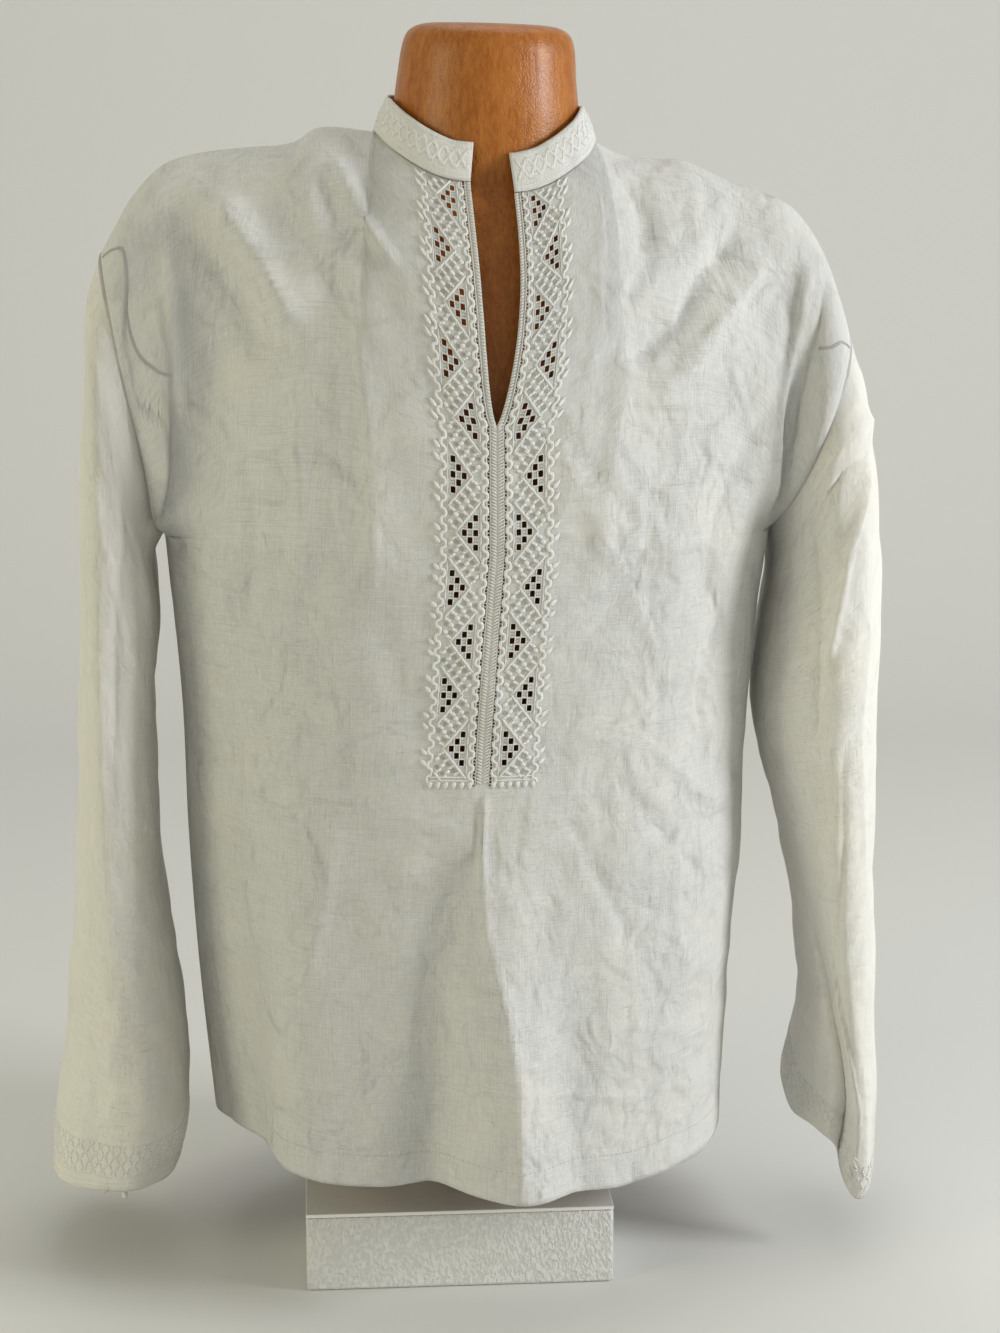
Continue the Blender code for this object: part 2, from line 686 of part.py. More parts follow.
def armhole_point(side, angle):
    """Armhole edge: angle 0 is the shoulder, 90 the front, 180 the underarm."""
    if angle <= 180.0:
        return trunk_point(SHIRT, -1, side, 2.0 - angle / 180.0)
    return trunk_point(SHIRT, 1, side, 1.0 + (angle - 180.0) / 180.0)


def armhole_start(side, angle):
    """Sleeve's first edge, clear of the body's edge by more towards the underarm."""
    low = (1.0 - math.cos(math.radians(angle))) / 2
    point = armhole_point(side, angle)
    point.x += side * mix(SHOULDER_STANDOFF, UNDERARM_STANDOFF, low ** STANDOFF_SPREAD)
    point.z -= mix(SHOULDER_SINK, 0.0, low)
    return point


def section_point(row, angle):
    """Point of a sleeve section's smooth loop."""
    turn = math.radians(angle)
    x = (row.outer_x + row.inner_x) / 2 + (row.outer_x - row.inner_x) / 2 * math.cos(turn)
    y = (row.front_y + row.back_y) / 2 + (row.front_y - row.back_y) / 2 * math.sin(turn)
    mean = (row.outer_z + row.inner_z + row.front_z + row.back_z) / 4
    twist = (row.outer_z + row.inner_z - row.front_z - row.back_z) / 4
    z = (mean + (row.outer_z - row.inner_z) / 2 * math.cos(turn)
         + (row.front_z - row.back_z) / 2 * math.sin(turn) + twist * math.cos(2.0 * turn))
    return Vector((x, y, z))


def angle_between(angle, centre):
    return (angle - centre + 180.0) % 360.0 - 180.0


def sleeve_push(folds, angle, share):
    """How far the folds push a sleeve out; each fades away past its ends."""
    push = 0.0
    for fold in folds:
        along = (share - fold.top_share) / (fold.foot_share - fold.top_share)
        fade = smooth(along / FOLD_FADE + 1.0) * smooth((1.0 - along) / FOLD_FADE + 1.0)
        centre = mix(fold.top_angle, fold.foot_angle, clamp(along, 0.0, 1.0))
        off = angle_between(angle, centre)
        depth = mix(fold.top_depth, fold.foot_depth, clamp(along, 0.0, 1.0))
        push += depth * fade * math.exp(-(off / fold.width) ** 2)
    return push


def sleeve_point(side, angle, share):
    """Point of a sleeve: share is 0 at the armhole and 1 at the cuff."""
    rows = LEFT_SLEEVE if side < 0 else RIGHT_SLEEVE
    folds = LEFT_SLEEVE_FOLDS if side < 0 else RIGHT_SLEEVE_FOLDS
    keys = [0.0] + [row.share for row in rows]
    points = [armhole_start(side, angle)] + [section_point(row, angle) for row in rows]
    point = curve_at(keys, points, share)
    push = sleeve_push(folds, angle, share) * smooth(share / SLEEVE_CALM)
    turn = math.radians(angle)
    point += Vector((side * math.cos(turn), -math.sin(turn), 0.0)) * push
    for drop in CUFF_DROPS[side]:
        reach = smooth((share - drop.top_share) / (1.0 - drop.top_share))
        point.z -= drop.depth * reach * math.exp(-(angle_between(angle, drop.angle) / drop.width) ** 2)
    return point


def build_sleeve(name, side, collection, linen):
    work = bmesh.new()
    around = 2 * CHEST_ROWS
    rings = []
    for row in range(SLEEVE_ROWS + 1):
        share = (row / SLEEVE_ROWS) ** SLEEVE_ROW_CROWDING
        rings.append([work.verts.new(sleeve_point(side, 360.0 * i / around, share)) for i in range(around)])
    for high, low in zip(rings, rings[1:]):
        for i in range(around):
            after = (i + 1) % around
            corners = (high[i], low[i], low[after], high[after])
            work.faces.new(corners if side < 0 else corners[::-1])
    sleeve = new_object(name, work, collection, linen)
    thicken(sleeve, WALL)


def build_tie(collection, linen):
    """Short cord sewn inside the left cuff's hem, its two cut ends hanging out."""
    curve = bpy.data.curves.new("cuff_tie_left", "CURVE")
    curve.dimensions = "3D"
    curve.bevel_depth = TIE_RADIUS
    curve.bevel_resolution = 2
    curve.use_fill_caps = True
    spline = curve.splines.new("POLY")
    keys = [i / (len(TIE_KNOTS) - 1) for i in range(len(TIE_KNOTS))]
    route = [curve_at(keys, TIE_KNOTS, i / TIE_STEPS) for i in range(TIE_STEPS + 1)]
    spline.points.add(len(route) - 1)
    for knot, point in zip(spline.points, route):
        knot.co = (*point, 1.0)
    tie = bpy.data.objects.new("cuff_tie_left", curve)
    collection.objects.link(tie)
    curve.materials.append(linen)


# Dress form and stand

def form_shoulder(rows):
    """Form's shoulder line, just under the shirt's and rounded off at its end."""
    line = []
    for i in range(FORM_SHOULDER_STEPS + 1):
        share = i / FORM_SHOULDER_STEPS
        row = row_at(rows, share * FORM_SHOULDER_REACH)
        rounding = FORM_SHOULDER_ROUND * share ** FORM_SHOULDER_POWER
        line.append(ShoulderRow(share, row.x, row.z - FORM_CLEARANCE - rounding))
    return tuple(line)


def build_form(collection, leather):
    no_armhole = {-1: 0.0, 1: 0.0}
    shoulders = (form_shoulder(LEFT_SHOULDER), form_shoulder(RIGHT_SHOULDER))
    form = Trunk(FORM_RINGS, shoulders, FORM_NECK_RADIUS, FORM_NECK_FRONT, FORM_NECK_BACK,
                 no_armhole, no_armhole)
    steps = across_steps(FORM_NECK_COLUMNS, FORM_SIDE_COLUMNS)
    work = bmesh.new()
    grids = {}
    for face in (-1, 1):
        grids[face] = [[work.verts.new(trunk_point(form, face, a, up)) for a in steps]
                       for up in up_steps(FORM_LOW_ROWS, FORM_HIGH_ROWS)]
        grid_faces(work, grids[face], face < 0)
    first = FORM_SIDE_COLUMNS
    last = FORM_SIDE_COLUMNS + 2 * FORM_NECK_COLUMNS
    front_edge = grids[-1][-1][first:last + 1]
    back_edge = grids[1][-1][first + 1:last][::-1]
    ring = front_edge + back_edge
    for row in FORM_NECK:
        higher = []
        for i in range(len(ring)):
            angle = 2.0 * math.pi * i / len(ring)
            off = -row.radius * math.cos(angle)
            z = row.height - FORM_NECK_TILT * off
            higher.append(work.verts.new((row.x + off, -row.depth * math.sin(angle), z)))
        for i in range(len(ring)):
            after = (i + 1) % len(ring)
            work.faces.new((ring[i], ring[after], higher[after], higher[i]))
        ring = higher
    top = work.verts.new((FORM_NECK[-1].x, 0.0, FORM_NECK_TOP))
    for i in range(len(ring)):
        work.faces.new((ring[i], ring[(i + 1) % len(ring)], top))
    bmesh.ops.remove_doubles(work, verts=work.verts, dist=POINTS_MEET)
    open_edges = [edge for edge in work.edges if edge.is_boundary]
    bmesh.ops.contextual_create(work, geom=open_edges)
    bmesh.ops.recalc_face_normals(work, faces=work.faces)
    new_object("dress_form", work, collection, leather)


def build_block(name, low, high, edge, collection, material):
    bpy.ops.mesh.primitive_cube_add(size=1.0, location=(0.0, 0.0, (low + high) / 2))
    block = bpy.context.object
    block.name = name
    block.scale = (BASE_WIDTH, BASE_WIDTH, high - low)
    bpy.ops.object.transform_apply(location=False, rotation=False, scale=True)
    for holder in list(block.users_collection):
        holder.objects.unlink(block)
    collection.objects.link(block)
    block.data.materials.append(material)
    bevel = block.modifiers.new("rounded edges", "BEVEL")
    bevel.width = edge
    bevel.segments = 2


def build_post(collection, steel):
    low = BASE_HEIGHT + PLATE_HEIGHT + SEAM_GAP
    high = FORM_BOTTOM + FORM_OFFSET.z - SEAM_GAP
    work = bmesh.new()
    bmesh.ops.create_cone(work, cap_ends=True, segments=POST_SIDES, radius1=POST_RADIUS,
                          radius2=POST_RADIUS, depth=high - low,
                          matrix=Matrix.Translation((0.0, 0.0, (low + high) / 2)))
    new_object("stand_post", work, collection, steel)


def main():
    clear_scene()
    parts = new_collection("embroidered_folk_shirt")
    cutters = new_collection("cutters")
    linen = new_material("white_linen", (0.80, 0.79, 0.74), 0.85)
    leather = new_material("tan_leather", (0.42, 0.17, 0.06), 0.45)
    steel = new_material("polished_steel", (0.62, 0.62, 0.60), 0.15, 1.0)
    pebbled = new_material("pebbled_leatherette", (0.50, 0.50, 0.48), 0.55)
    front = build_front(parts, linen)
    cut_cutwork(front, cutters)
    build_back(parts, linen)
    build_collar(parts, linen)
    build_sleeve("sleeve_left", -1, parts, linen)
    build_sleeve("sleeve_right", 1, parts, linen)
    build_tie(parts, linen)
    build_form(parts, leather)
    for obj in list(parts.objects) + list(cutters.objects):
        obj.data.transform(Matrix.Translation(FORM_OFFSET))
    build_post(parts, steel)
    build_block("base_plate", BASE_HEIGHT + SEAM_GAP, BASE_HEIGHT + PLATE_HEIGHT, PLATE_EDGE, parts, steel)
    build_block("base_block", 0.0, BASE_HEIGHT, BASE_EDGE, parts, pebbled)


main()
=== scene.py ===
"""Looks of an embroidered linen folk shirt, worn hollow on a limbless dress form with a square base.

Metres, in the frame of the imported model: +Z up, +X the viewer's right, the shirt's front towards -Y.
Each cloth piece is a thin shell on its own solid's form. The needlework is laid on it in the cloth's own
sizes: offset from the front's middle line, and length of cloth up from the hem.
"""

import math
from collections import namedtuple
from functools import partial

import bpy
import bmesh
import numpy as np
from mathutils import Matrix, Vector


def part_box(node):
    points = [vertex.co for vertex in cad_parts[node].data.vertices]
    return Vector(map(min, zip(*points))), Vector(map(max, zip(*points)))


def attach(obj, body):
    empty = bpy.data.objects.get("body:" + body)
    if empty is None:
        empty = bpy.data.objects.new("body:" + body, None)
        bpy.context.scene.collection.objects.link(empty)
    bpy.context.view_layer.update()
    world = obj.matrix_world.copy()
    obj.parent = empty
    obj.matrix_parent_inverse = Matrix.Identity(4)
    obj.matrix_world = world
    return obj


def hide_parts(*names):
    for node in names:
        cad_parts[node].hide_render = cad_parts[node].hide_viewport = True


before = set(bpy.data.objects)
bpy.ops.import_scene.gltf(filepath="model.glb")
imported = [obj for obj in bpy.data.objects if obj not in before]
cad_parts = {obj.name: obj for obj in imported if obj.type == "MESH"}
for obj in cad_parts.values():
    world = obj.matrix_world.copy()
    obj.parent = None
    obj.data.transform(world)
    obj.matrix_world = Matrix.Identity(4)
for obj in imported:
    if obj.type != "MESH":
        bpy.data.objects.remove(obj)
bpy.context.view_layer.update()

# Cloth, close to the solids
FORM_OFFSET = np.array((0.006, 0.0, 0.003))
CHEST_HEIGHT = 0.520
CLOTH = 0.0008
COLLAR_CLOTH = 0.0020
NECK_X = 0.0185
NECK_RADIUS = 0.0725
NECK_FRONT = 0.072
NECK_BACK = 0.0725
NECK_SHARE = 0.30
NECK_CROWN = 0.012
RIDGE_Y = 0.004
SLIT_HALF_GAP = 0.0143
SLIT_BOTTOM = 0.603
SLIT_TOP = 0.748
SLIT_EASE = 0.70
SLIT_BOW = 0.0035
SLIT_SHIFT = 0.0008
SLIT_DROP = 0.0035
SLIT_SPREAD = 0.55
SEAM_HOLD_FROM = 0.16
SIDE_CALM_FROM = 0.86
TOP_CALM_FROM = 1.80
BACK_FULLNESS = 0.8
HEM_DROP_POWER = 3
ARMHOLE_FRONT = {-1: 0.058, 1: 0.074}
ARMHOLE_BACK = {-1: 0.062, 1: 0.076}
ARMHOLE_BLEND = 0.55
CREASE_END = 0.020
CRUMPLE_WIDE = 0.0010
CRUMPLE_MIDDLING = 0.0007
CRUMPLE_FINE = 0.00028
CRUMPLE_BY_FACE = 0.7

# Mesh steps
PROBE = 0.004
HALVINGS = 15
CLOTH_LINE_STEPS = 400
ROW_STEP = 0.0034
BAND_STEP = 0.0026
STEP_SLACK = 0.25
FRONT_SIDE_COLUMNS = 58
FRONT_SIDE_POWER = 0.92
BACK_COLUMNS = 110
BACK_ROWS = 190
SLEEVE_COLUMNS = 116
SLEEVE_ROWS = 190
COLLAR_COLUMNS = 220
COLLAR_ROWS = 12
SEAM_STEPS = 120
SEAM_LAST_ANGLE = 359.999
WELD = 0.00002
TINY = 1e-12

# Sleeves
SHOULDER_SINK = 0.0005
SLEEVE_CALM = 0.12
FOLD_FADE = 0.25
SLEEVE_GIRTH = 0.36
SLEEVE_RUN = 0.60
SLEEVE_CRUMPLE_RADIUS = 0.06
SLEEVE_CRUMPLE_SHIFT = 0.3
SLEEVE_PROBE_ANGLE = 0.5
SLEEVE_PROBE_SHARE = 0.01

# Cutwork motifs
MOTIF_COUNT = 11
MOTIF_PITCH = 0.0355
MOTIF_LOWEST = 0.392
BAND_MIDDLE = 0.0211
HOLE_WIDTH = 0.0031
HOLE_HEIGHT = 0.0040
HOLE_PITCH_ACROSS = 0.0036
HOLE_PITCH_DOWN = 0.0047
FRAME_AWAY = 0.00042
FRAME_STEPS = 16
FRAME_SQUARENESS = 0.4
CUTWORK_CHART = (
    "#..",
    ".#.",
    "#.#",
    ".#.",
    "#..",
)
CHART_MIDDLE = 2
PIN_HOLES = ((0, 1), (0, -1), (1, 0))
PIN_SPREAD = (0.0007, 0.0009)
PIN_HALF = (0.00036, 0.00042)

# Bands of needlework, as offsets from the middle line
BAND_EDGE = 0.046
BAND_HALF = 0.0108
BAND_FOOT = 0.0235
BAND_TOP_INSET = 0.0012
BEYOND_BAND = 1.0
LADDER_INNER = 0.0049
LADDER_OUTER = 0.0062
LADDER_STEP = 0.0023
LADDER_GRIP = 0.0004
LADDER_EDGE_AWAY = 0.0007
SLIT_ROLL_FROM = 0.0001
SLIT_ROLL_STEP = 0.0021
SLIT_ROLL_RUN = (0.0027, 0.0013)
SLIT_ROLL_BELOW = 0.002
HERRINGBONE_FROM = 0.0002
HERRINGBONE_TO = 0.0040
HERRINGBONE_END = 0.001
MEANDER_INSET = 0.0134
MEANDER_SWING = 0.0015
MEANDER_STEP = 0.0006
MEANDER_ROUND = 0.055
MEANDER_PERIOD = 0.0094
MEANDER_PHASES = {-1: 0.0, 1: 1.6}
FIELD_REACH = 0.0190
FIELD_INSET = 0.0002
STRIP_SLOPE = 1.25
STRIP_FOOT = 0.002
STRIP_SHORTEST = 0.002
STRIP_CORD_AWAY = 0.0109
DOT_FOOT = 0.003
DOT_MARGIN = 0.0018
BAR_MARGIN = 0.0014
BAR_REACH = 0.0017
DOT_REACH = 0.0015
OUTER_DOT_REACH = 0.0010
EYELET_AWAY = 0.0052
EYELET_OUTER = 0.0084
EYELET_PITCH = 0.00355
EYELET_COLUMNS = 6
EYELET_HALF = 0.00135
PIT_SIDES = 10
PIT_RINGS = ((1.0, 0.00020), (0.001, 0.00006))
TOOTH_INSET = 0.0155
TOOTH_GROUP_PITCH = 0.0245
TOOTH_GROUP_FROM = 0.012
TOOTH_GROUP_END = 0.010
TOOTH_GAP = 0.0073
TOOTH_RUN = (0.0042, 0.0040)
FOOT_TOOTH_PITCH = 0.0052
FOOT_TOOTH_FROM = 0.0015
FOOT_TOOTH_RUN = (0.0, -0.0046)
FOOT_CORD_ROWS = (0.0022, 0.0046)

# Cuffs, hem and seams
CUFF_STAR_PITCH = 0.0100
CUFF_STAR_LOW = 0.0150
CUFF_STAR_RISE = 0.0058
CUFF_STAR_ROWS = 4
CUFF_RAY_FROM = np.array((0.0006, 0.0005))
CUFF_RAY_TO = np.array((0.0029, 0.0026))
CUFF_RAYS = ((-1, 1), (1, 1), (-1, -1), (1, -1))
CUFF_DASH_ROWS = (0.0030, 0.0060, 0.0108, 0.0356)
CUFF_DASH_PITCH = 0.0028
CUFF_DASH_RUN = (0.0020, 0.0)
HEM_DEPTH = 0.022
HEM_DASH = 0.0030
HEM_DASH_SHARE = 0.62
HEM_FIT = 0.75
HEM_END = 0.985
SIDE_SEAM_AWAY = 0.6
SEAM_OUT_LEAST = 0.35
SEAM_OUT_MORE = 0.65
SEAM_FORWARD = 0.8
SEAM_UP = 0.5
SLEEVE_SEAMS = {
    -1: ((-0.985, 1.90), (-0.945, 1.85), (-0.905, 1.79), (-0.900, 1.72), (-0.920, 1.64), (-0.905, 1.55),
         (-0.850, 1.47), (-0.775, 1.40)),
    1: ((0.985, 1.80), (0.94, 1.74), (0.895, 1.66), (0.850, 1.60)),
}

# Collar
COLLAR_HEIGHT = 0.027
COLLAR_SIDE_HEIGHT = 0.0235
COLLAR_LEAN = 0.52
COLLAR_SIDE_LEAN = 0.42
COLLAR_BULGE = 0.0006
COLLAR_WAVE = 0.0005
COLLAR_WAVE_TURNS = 140.0
COLLAR_DRIFT = 3.0
COLLAR_DRIFT_TURNS = 60.0
SEAM_BLEND_FROM = 45.0
SLIT_SIDE_NUDGE = 0.000001
NET_PITCH = 0.0088
NET_INSET = 0.003
NET_DIAGONALS = ((0.0070, 0.0225), (0.0225, 0.0070))
NET_UPRIGHTS = ((0.0, 0.0075, 0.0110), (0.0, 0.0185, 0.0220), (0.5, 0.0105, 0.0190))
COLLAR_DASH_ROWS = (0.0036, 0.0246)
COLLAR_DASH_FROM = 0.002
COLLAR_DASH_PITCH = 0.0022
COLLAR_DASH_RUN = (0.0015, 0.0)
PICOT_INSET = 0.0008
PICOT_PITCH = 0.0016
PICOT_SINK = 0.0004
PICOT_RUN = 0.0011
END_PICOT_FROM = 0.0012
END_PICOT_PITCH = 0.0017
END_PICOT_RUN = 0.0010

# Threads: width, height, share of both left at the ends, points along, share of the height sunk in
THREAD_SIDES = 6
THREAD_MAP_WIDTH = 0.002
LEAF = (0.0016, 0.0030, 0.0036, 0.0034, 0.0026, 0.0016, 0.0006)
Thread = namedtuple("Thread", "width height taper points sunk", defaults=(0.4, 4, 0.25))
STRIP_BAR = Thread(0.0030, 0.0011, 0.5, 5)
STRIP_DOT = Thread(0.0022, 0.0010, 0.5, 5)
STRIP_CORD = Thread(0.0017, 0.0011, 0.7, 10)
MEANDER_CORD = Thread(0.0024, 0.0010, 0.8)
FIELD_LINE = Thread(0.0009, 0.0007, 0.6, 16)
HOLE_FRAME = Thread(0.0007, 0.0005, 0.9)
TOOTH = Thread(LEAF, 0.0011, 0.8, len(LEAF))
FOOT_CORD = Thread(0.0012, 0.0008, 0.8, 30)
LADDER_BAR = Thread(0.0009, 0.0004, 0.35, 3, 1.0)
LADDER_EDGE = Thread(0.0008, 0.0006, 0.9, 220)
SLIT_ROLL = Thread(0.0014, 0.0011, 0.6)
HERRINGBONE = Thread(0.0013, 0.0011, 0.6)
NET_DIAGONAL = Thread(0.0022, 0.00035, 0.5, 8)
NET_UPRIGHT = Thread(0.0026, 0.00040, 0.3, 5)
COLLAR_DASH = Thread(0.0006, 0.00035, points=3)
PICOT = Thread(0.0012, 0.0007, sunk=1.0)
STAR_RAY = Thread(0.0015, 0.0008)
CUFF_DASH = Thread(0.0008, 0.0005, points=3)
HEM_STITCH = Thread(0.0008, 0.0004, points=3)
ARMHOLE_RIDGE = Thread(0.0036, 0.0004, 0.9, sunk=1.0)
SIDE_RIDGE = Thread(0.0018, 0.0007, 0.9, sunk=1.0)
SLEEVE_RIDGE = Thread(0.0022, 0.0007, 0.9, sunk=1.0)

# Tie inside the left cuff, close to the solid
TIE_DIAMETER = 0.0046
TIE_STEPS = 48
TIE_SIDES = 24
TIE_TWIST = 0.012
TIE_PLIES = 3
TIE_PLY_DEPTH = 0.13
TIE_END = 0.04
TIE_END_SHARE = 0.55
TIE_KNOTS = np.array((
    (-0.2548, -0.0632, 0.0556),
    (-0.2515, -0.0662, 0.0640),
    (-0.2496, -0.0672, 0.0710),
    (-0.2466, -0.0681, 0.0740),
    (-0.2432, -0.0688, 0.0712),
    (-0.2412, -0.0692, 0.0630),
    (-0.2392, -0.0696, 0.0535),
))

# Dress form and post
FORM_CLEARANCE = 0.0016
FORM_SHOULDER_REACH = 0.56
FORM_SHOULDER_ROUND = 0.022
FORM_SHOULDER_POWER = 7
FORM_SHOULDER_STEPS = 8
FORM_NECK_RADIUS = 0.0655
FORM_NECK_FRONT = 0.061
FORM_NECK_BACK = 0.060
FORM_NECK_TOP = 0.8560
FORM_NECK_TILT = 0.030
FORM_CROWN_LIFT = 0.0006
FORM_MIDDLE_SHARE = 0.02
FORM_NECK_COLUMNS = 32
FORM_SIDE_COLUMNS = 24
FORM_ROWS = 60
FORM_NECK_ROWS = 45
FORM_SHARP_ANGLE = 50
POST_EASE = 0.0006
POST_SIDES = 64
POST_WELD = 0.00001
POST_SHARP_ANGLE = 40

# Materials: thread pitches and sizes of grain, and heights of relief
WARP_PITCH = 0.00085
WEFT_PITCH = 0.00090
SLUB_WIDTH = 0.0009
SLUB_LENGTH = 0.034
LINEN_CLOUD = 0.05
LINEN_WARMTH = (0.985, 0.965, 0.905)
BROAD_SIZE = 0.042
BROAD_RELIEF = 0.0120
CRUMPLE_SIZE = (0.015, 0.015, 0.022)
CRUMPLE_RELIEF = 0.0028
SLUB_RELIEF = 0.00014
THREAD_RELIEF = 0.00052
WEAVE_RELIEF = 0.00008
SATIN_SLANT = 0.35
SATIN_PITCH = 0.00055
SATIN_RELIEF = 0.00006
SATIN_FUZZ = 0.0012
SATIN_FUZZ_RELIEF = 0.00015
PIT_GRAIN = 0.002
# Painted shade: the dark colours of the cups in the eyelets and pin-holes
PIT_PAINTED_SHADE_TINTS = ((0.34, 0.33, 0.30), (0.46, 0.45, 0.42))
PEBBLE_SCALE = 900.0
PEBBLE_RELIEF = -0.00030
GRAIN_SIZE = (0.0024, 0.0024, 0.0080)
GRAIN_RELIEF = 0.00030
STREAK_SIZE = (0.010, 0.010, 0.060)
STREAK_RELIEF = 0.0010
LEATHER_TINTS = ((0.33, 0.100, 0.013), (0.43, 0.145, 0.022), (0.52, 0.195, 0.040))
SMEAR_SIZE = (0.030, 0.012, 0.030)
SMEAR_RELIEF = 0.00004
DUST_SIZE = 0.0016
DUST_SHARE = 0.45
COVER_PEBBLE_SIZE = (0.0022, 0.0022, 0.0036)
COVER_PEBBLE_RELIEF = 0.0006
COVER_FINE_SIZE = 0.0012
COVER_FINE_RELIEF = 0.00012
COVER_STAIN_SIZE = 0.03
# Painted shade in the pebbles' hollows, painted light on their crests, and a faint yellow stain
COVER_SHADE_LIGHT_AND_STAIN_TINTS = ((0.67, 0.67, 0.66), (0.80, 0.80, 0.79), (0.72, 0.72, 0.66))

# Stage, lights and camera
SWEEP_FRONT = -3.0
SWEEP_BEND_FROM = 1.4
SWEEP_RADIUS = 0.8
SWEEP_STEPS = 12
SWEEP_TOP = 4.0
SWEEP_HALF_WIDTH = 4.0
SWEEP_BELOW = 0.0002
SWEEP_COLOUR = (0.70, 0.70, 0.69)
Light = namedtuple("Light", "name place target size power colour")
LIGHTS = (
    Light("window", (2.35, -0.82, 1.15), (0.0, 0.0, 0.45), (0.6, 1.0), 46.0, (0.97, 0.985, 1.0)),
    Light("room_fill", (-2.30, -1.20, 1.10), (0.0, 0.0, 0.45), (0.9, 1.2), 18.0, (1.0, 0.955, 0.64)),
    Light("top_fill", (0.2, 0.6, 2.4), (0.0, 0.0, 0.4), (1.6, 1.2), 9.0, (1.0, 1.0, 1.0)),
)
WORLD_COLOUR = (0.95, 0.94, 0.85, 1.0)
WORLD_STRENGTH = 0.45
CAMERA_PLACE = (-0.0907, -1.7976, 0.8310)
CAMERA_PITCH = 12.87
CAMERA_YAW = 4.0
CAMERA_SENSOR = 36.0
CAMERA_LENS = 70.95

# Tables, their lengths in millimetres

def in_metres(kind, *rows, plain=0):
    """Named rows in metres; their first plain columns are shares or degrees."""
    return tuple(kind(*row[:plain], *(value / 1000.0 for value in row[plain:])) for row in rows)


Crease = namedtuple("Crease", "line width depth")


def creases_of(*rows):
    """Creases in metres from rows of width, depth and places; ridges are above 0 and troughs below."""
    return tuple(Crease(np.array(line) / 1000.0, width / 1000.0, depth / 1000.0)
                 for width, depth, *line in rows)


BodyRow = namedtuple("BodyRow", "height left right centre front back side")
SHIRT_RINGS = in_metres(
    BodyRow,
    (90, -177, 186, 0, 155, 162, 10),
    (200, -186, 192, 2, 149, 153, 8),
    (300, -191, 200, 4, 143, 145, 6),
    (400, -193, 203, 9, 138, 137, 4),
    (520, -202, 216, 18, 131, 126, 2),
)
FORM_RINGS = in_metres(
    BodyRow,
    (200, -150, 136, -7, 92, 98, 2),
    (320, -142, 140, -1, 94, 94, 2),
    (420, -148, 156, 4, 104, 98, 2),
    (520, -160, 180, 10, 113, 102, 2),
)

ShoulderRow = namedtuple("ShoulderRow", "share x z")
LEFT_SHOULDER = in_metres(
    ShoulderRow,
    (0, -54, 784),
    (0.12, -82, 787.5),
    (0.175, -95, 786.5),
    (0.235, -107, 778.5),
    (0.3, -120, 775.5),
    (0.38, -137, 774.5),
    (0.56, -176, 770),
    (0.67, -198, 762),
    (0.79, -217, 743),
    (0.92, -231, 720),
    (1, -240, 704),
    plain=1,
)
RIGHT_SHOULDER = in_metres(
    ShoulderRow,
    (0, 91, 778.5),
    (0.09, 111, 769),
    (0.17, 131, 766),
    (0.27, 153, 765),
    (0.38, 180, 753.5),
    (0.57, 222, 738),
    (0.67, 239, 722),
    (0.77, 251, 702),
    (0.88, 260, 678),
    (1, 268, 651),
    plain=1,
)

NeckRow = namedtuple("NeckRow", "height x radius depth")
FORM_NECK = in_metres(
    NeckRow,
    (800, 19.5, 62.5, 58),
    (820, 20, 60, 56),
    (841, 21.2, 57.5, 54),
    (850, 21.6, 53.5, 50),
    (854.5, 21.8, 44, 41),
)

# Large folds, close to the solids'
Fold = namedtuple("Fold", "top_x top_z foot_x foot_z width top_depth foot_depth")
FRONT_FOLDS = in_metres(
    Fold,
    (-160, 738, -108, 664, 13, 4, 3),
    (-172, 722, -128, 655, 12, -5, -3),
    (-192, 670, -204, 545, 20, 12, 16),
    (-160, 640, -170, 560, 16, -6, -5),
    (-66, 700, -60, 520, 10, 2, 2),
    (190, 722, 94, 640, 14, -5, -4),
    (206, 690, 130, 615, 16, 4, 3),
    (200, 640, 205, 560, 18, 8, 9),
    (104, 640, 84, 500, 9, 2, 2),
    (170, 520, 160, 330, 20, -3, -5),
    (8, 350, 32, 80, 30, 0, 34),
    (-10, 340, -30, 80, 22, 0, -20),
    (-120, 400, -108, 80, 30, 2, 13),
    (-156, 420, -156, 80, 24, 0, -16),
    (100, 330, 88, 80, 24, 0, 8),
    (160, 420, 146, 80, 34, 0, 11),
)
BACK_FOLDS = in_metres(
    Fold,
    (-120, 720, -90, 600, 18, 3, 2),
    (150, 710, 110, 600, 18, 3, 2),
    (-170, 640, -150, 480, 20, 6, 4),
    (180, 620, 165, 480, 20, 6, 4),
    (-50, 560, -75, 80, 28, 2, 14),
    (0, 520, 0, 80, 26, -2, -14),
    (55, 560, 70, 80, 28, 2, 12),
    (-120, 450, -128, 80, 20, -2, -8),
    (125, 450, 132, 80, 22, -2, -8),
)

HemDrop = namedtuple("HemDrop", "x width depth")
HEM_DROPS = in_metres(
    HemDrop,
    (115, 45, 8),
    (172, 22, 5),
    (-128, 28, -5),
)

SleeveRow = namedtuple("SleeveRow", "share outer_x inner_x outer_z inner_z front_z back_z front_y back_y")
LEFT_SLEEVE = in_metres(
    SleeveRow,
    (0.06, -250, -211, 672, 500, 590, 592, -68, 70),
    (0.16, -253.5, -209, 608, 468, 535, 538, -79, 81),
    (0.26, -259, -211.5, 540, 430, 482, 485, -85, 88),
    (0.38, -261, -214.5, 455, 375, 412, 415, -87, 91),
    (0.5, -265, -214, 370, 310, 338, 340, -86, 90),
    (0.62, -269, -209.5, 290, 250, 266, 268, -83, 87),
    (0.74, -276, -201.5, 216, 194, 202, 204, -79, 83),
    (0.86, -283, -197, 146, 138, 140, 142, -76, 79),
    (0.94, -290, -198, 96, 98, 96, 98, -73, 76),
    (1, -294.5, -204, 54, 62, 62, 64, -71, 73),
    plain=1,
)
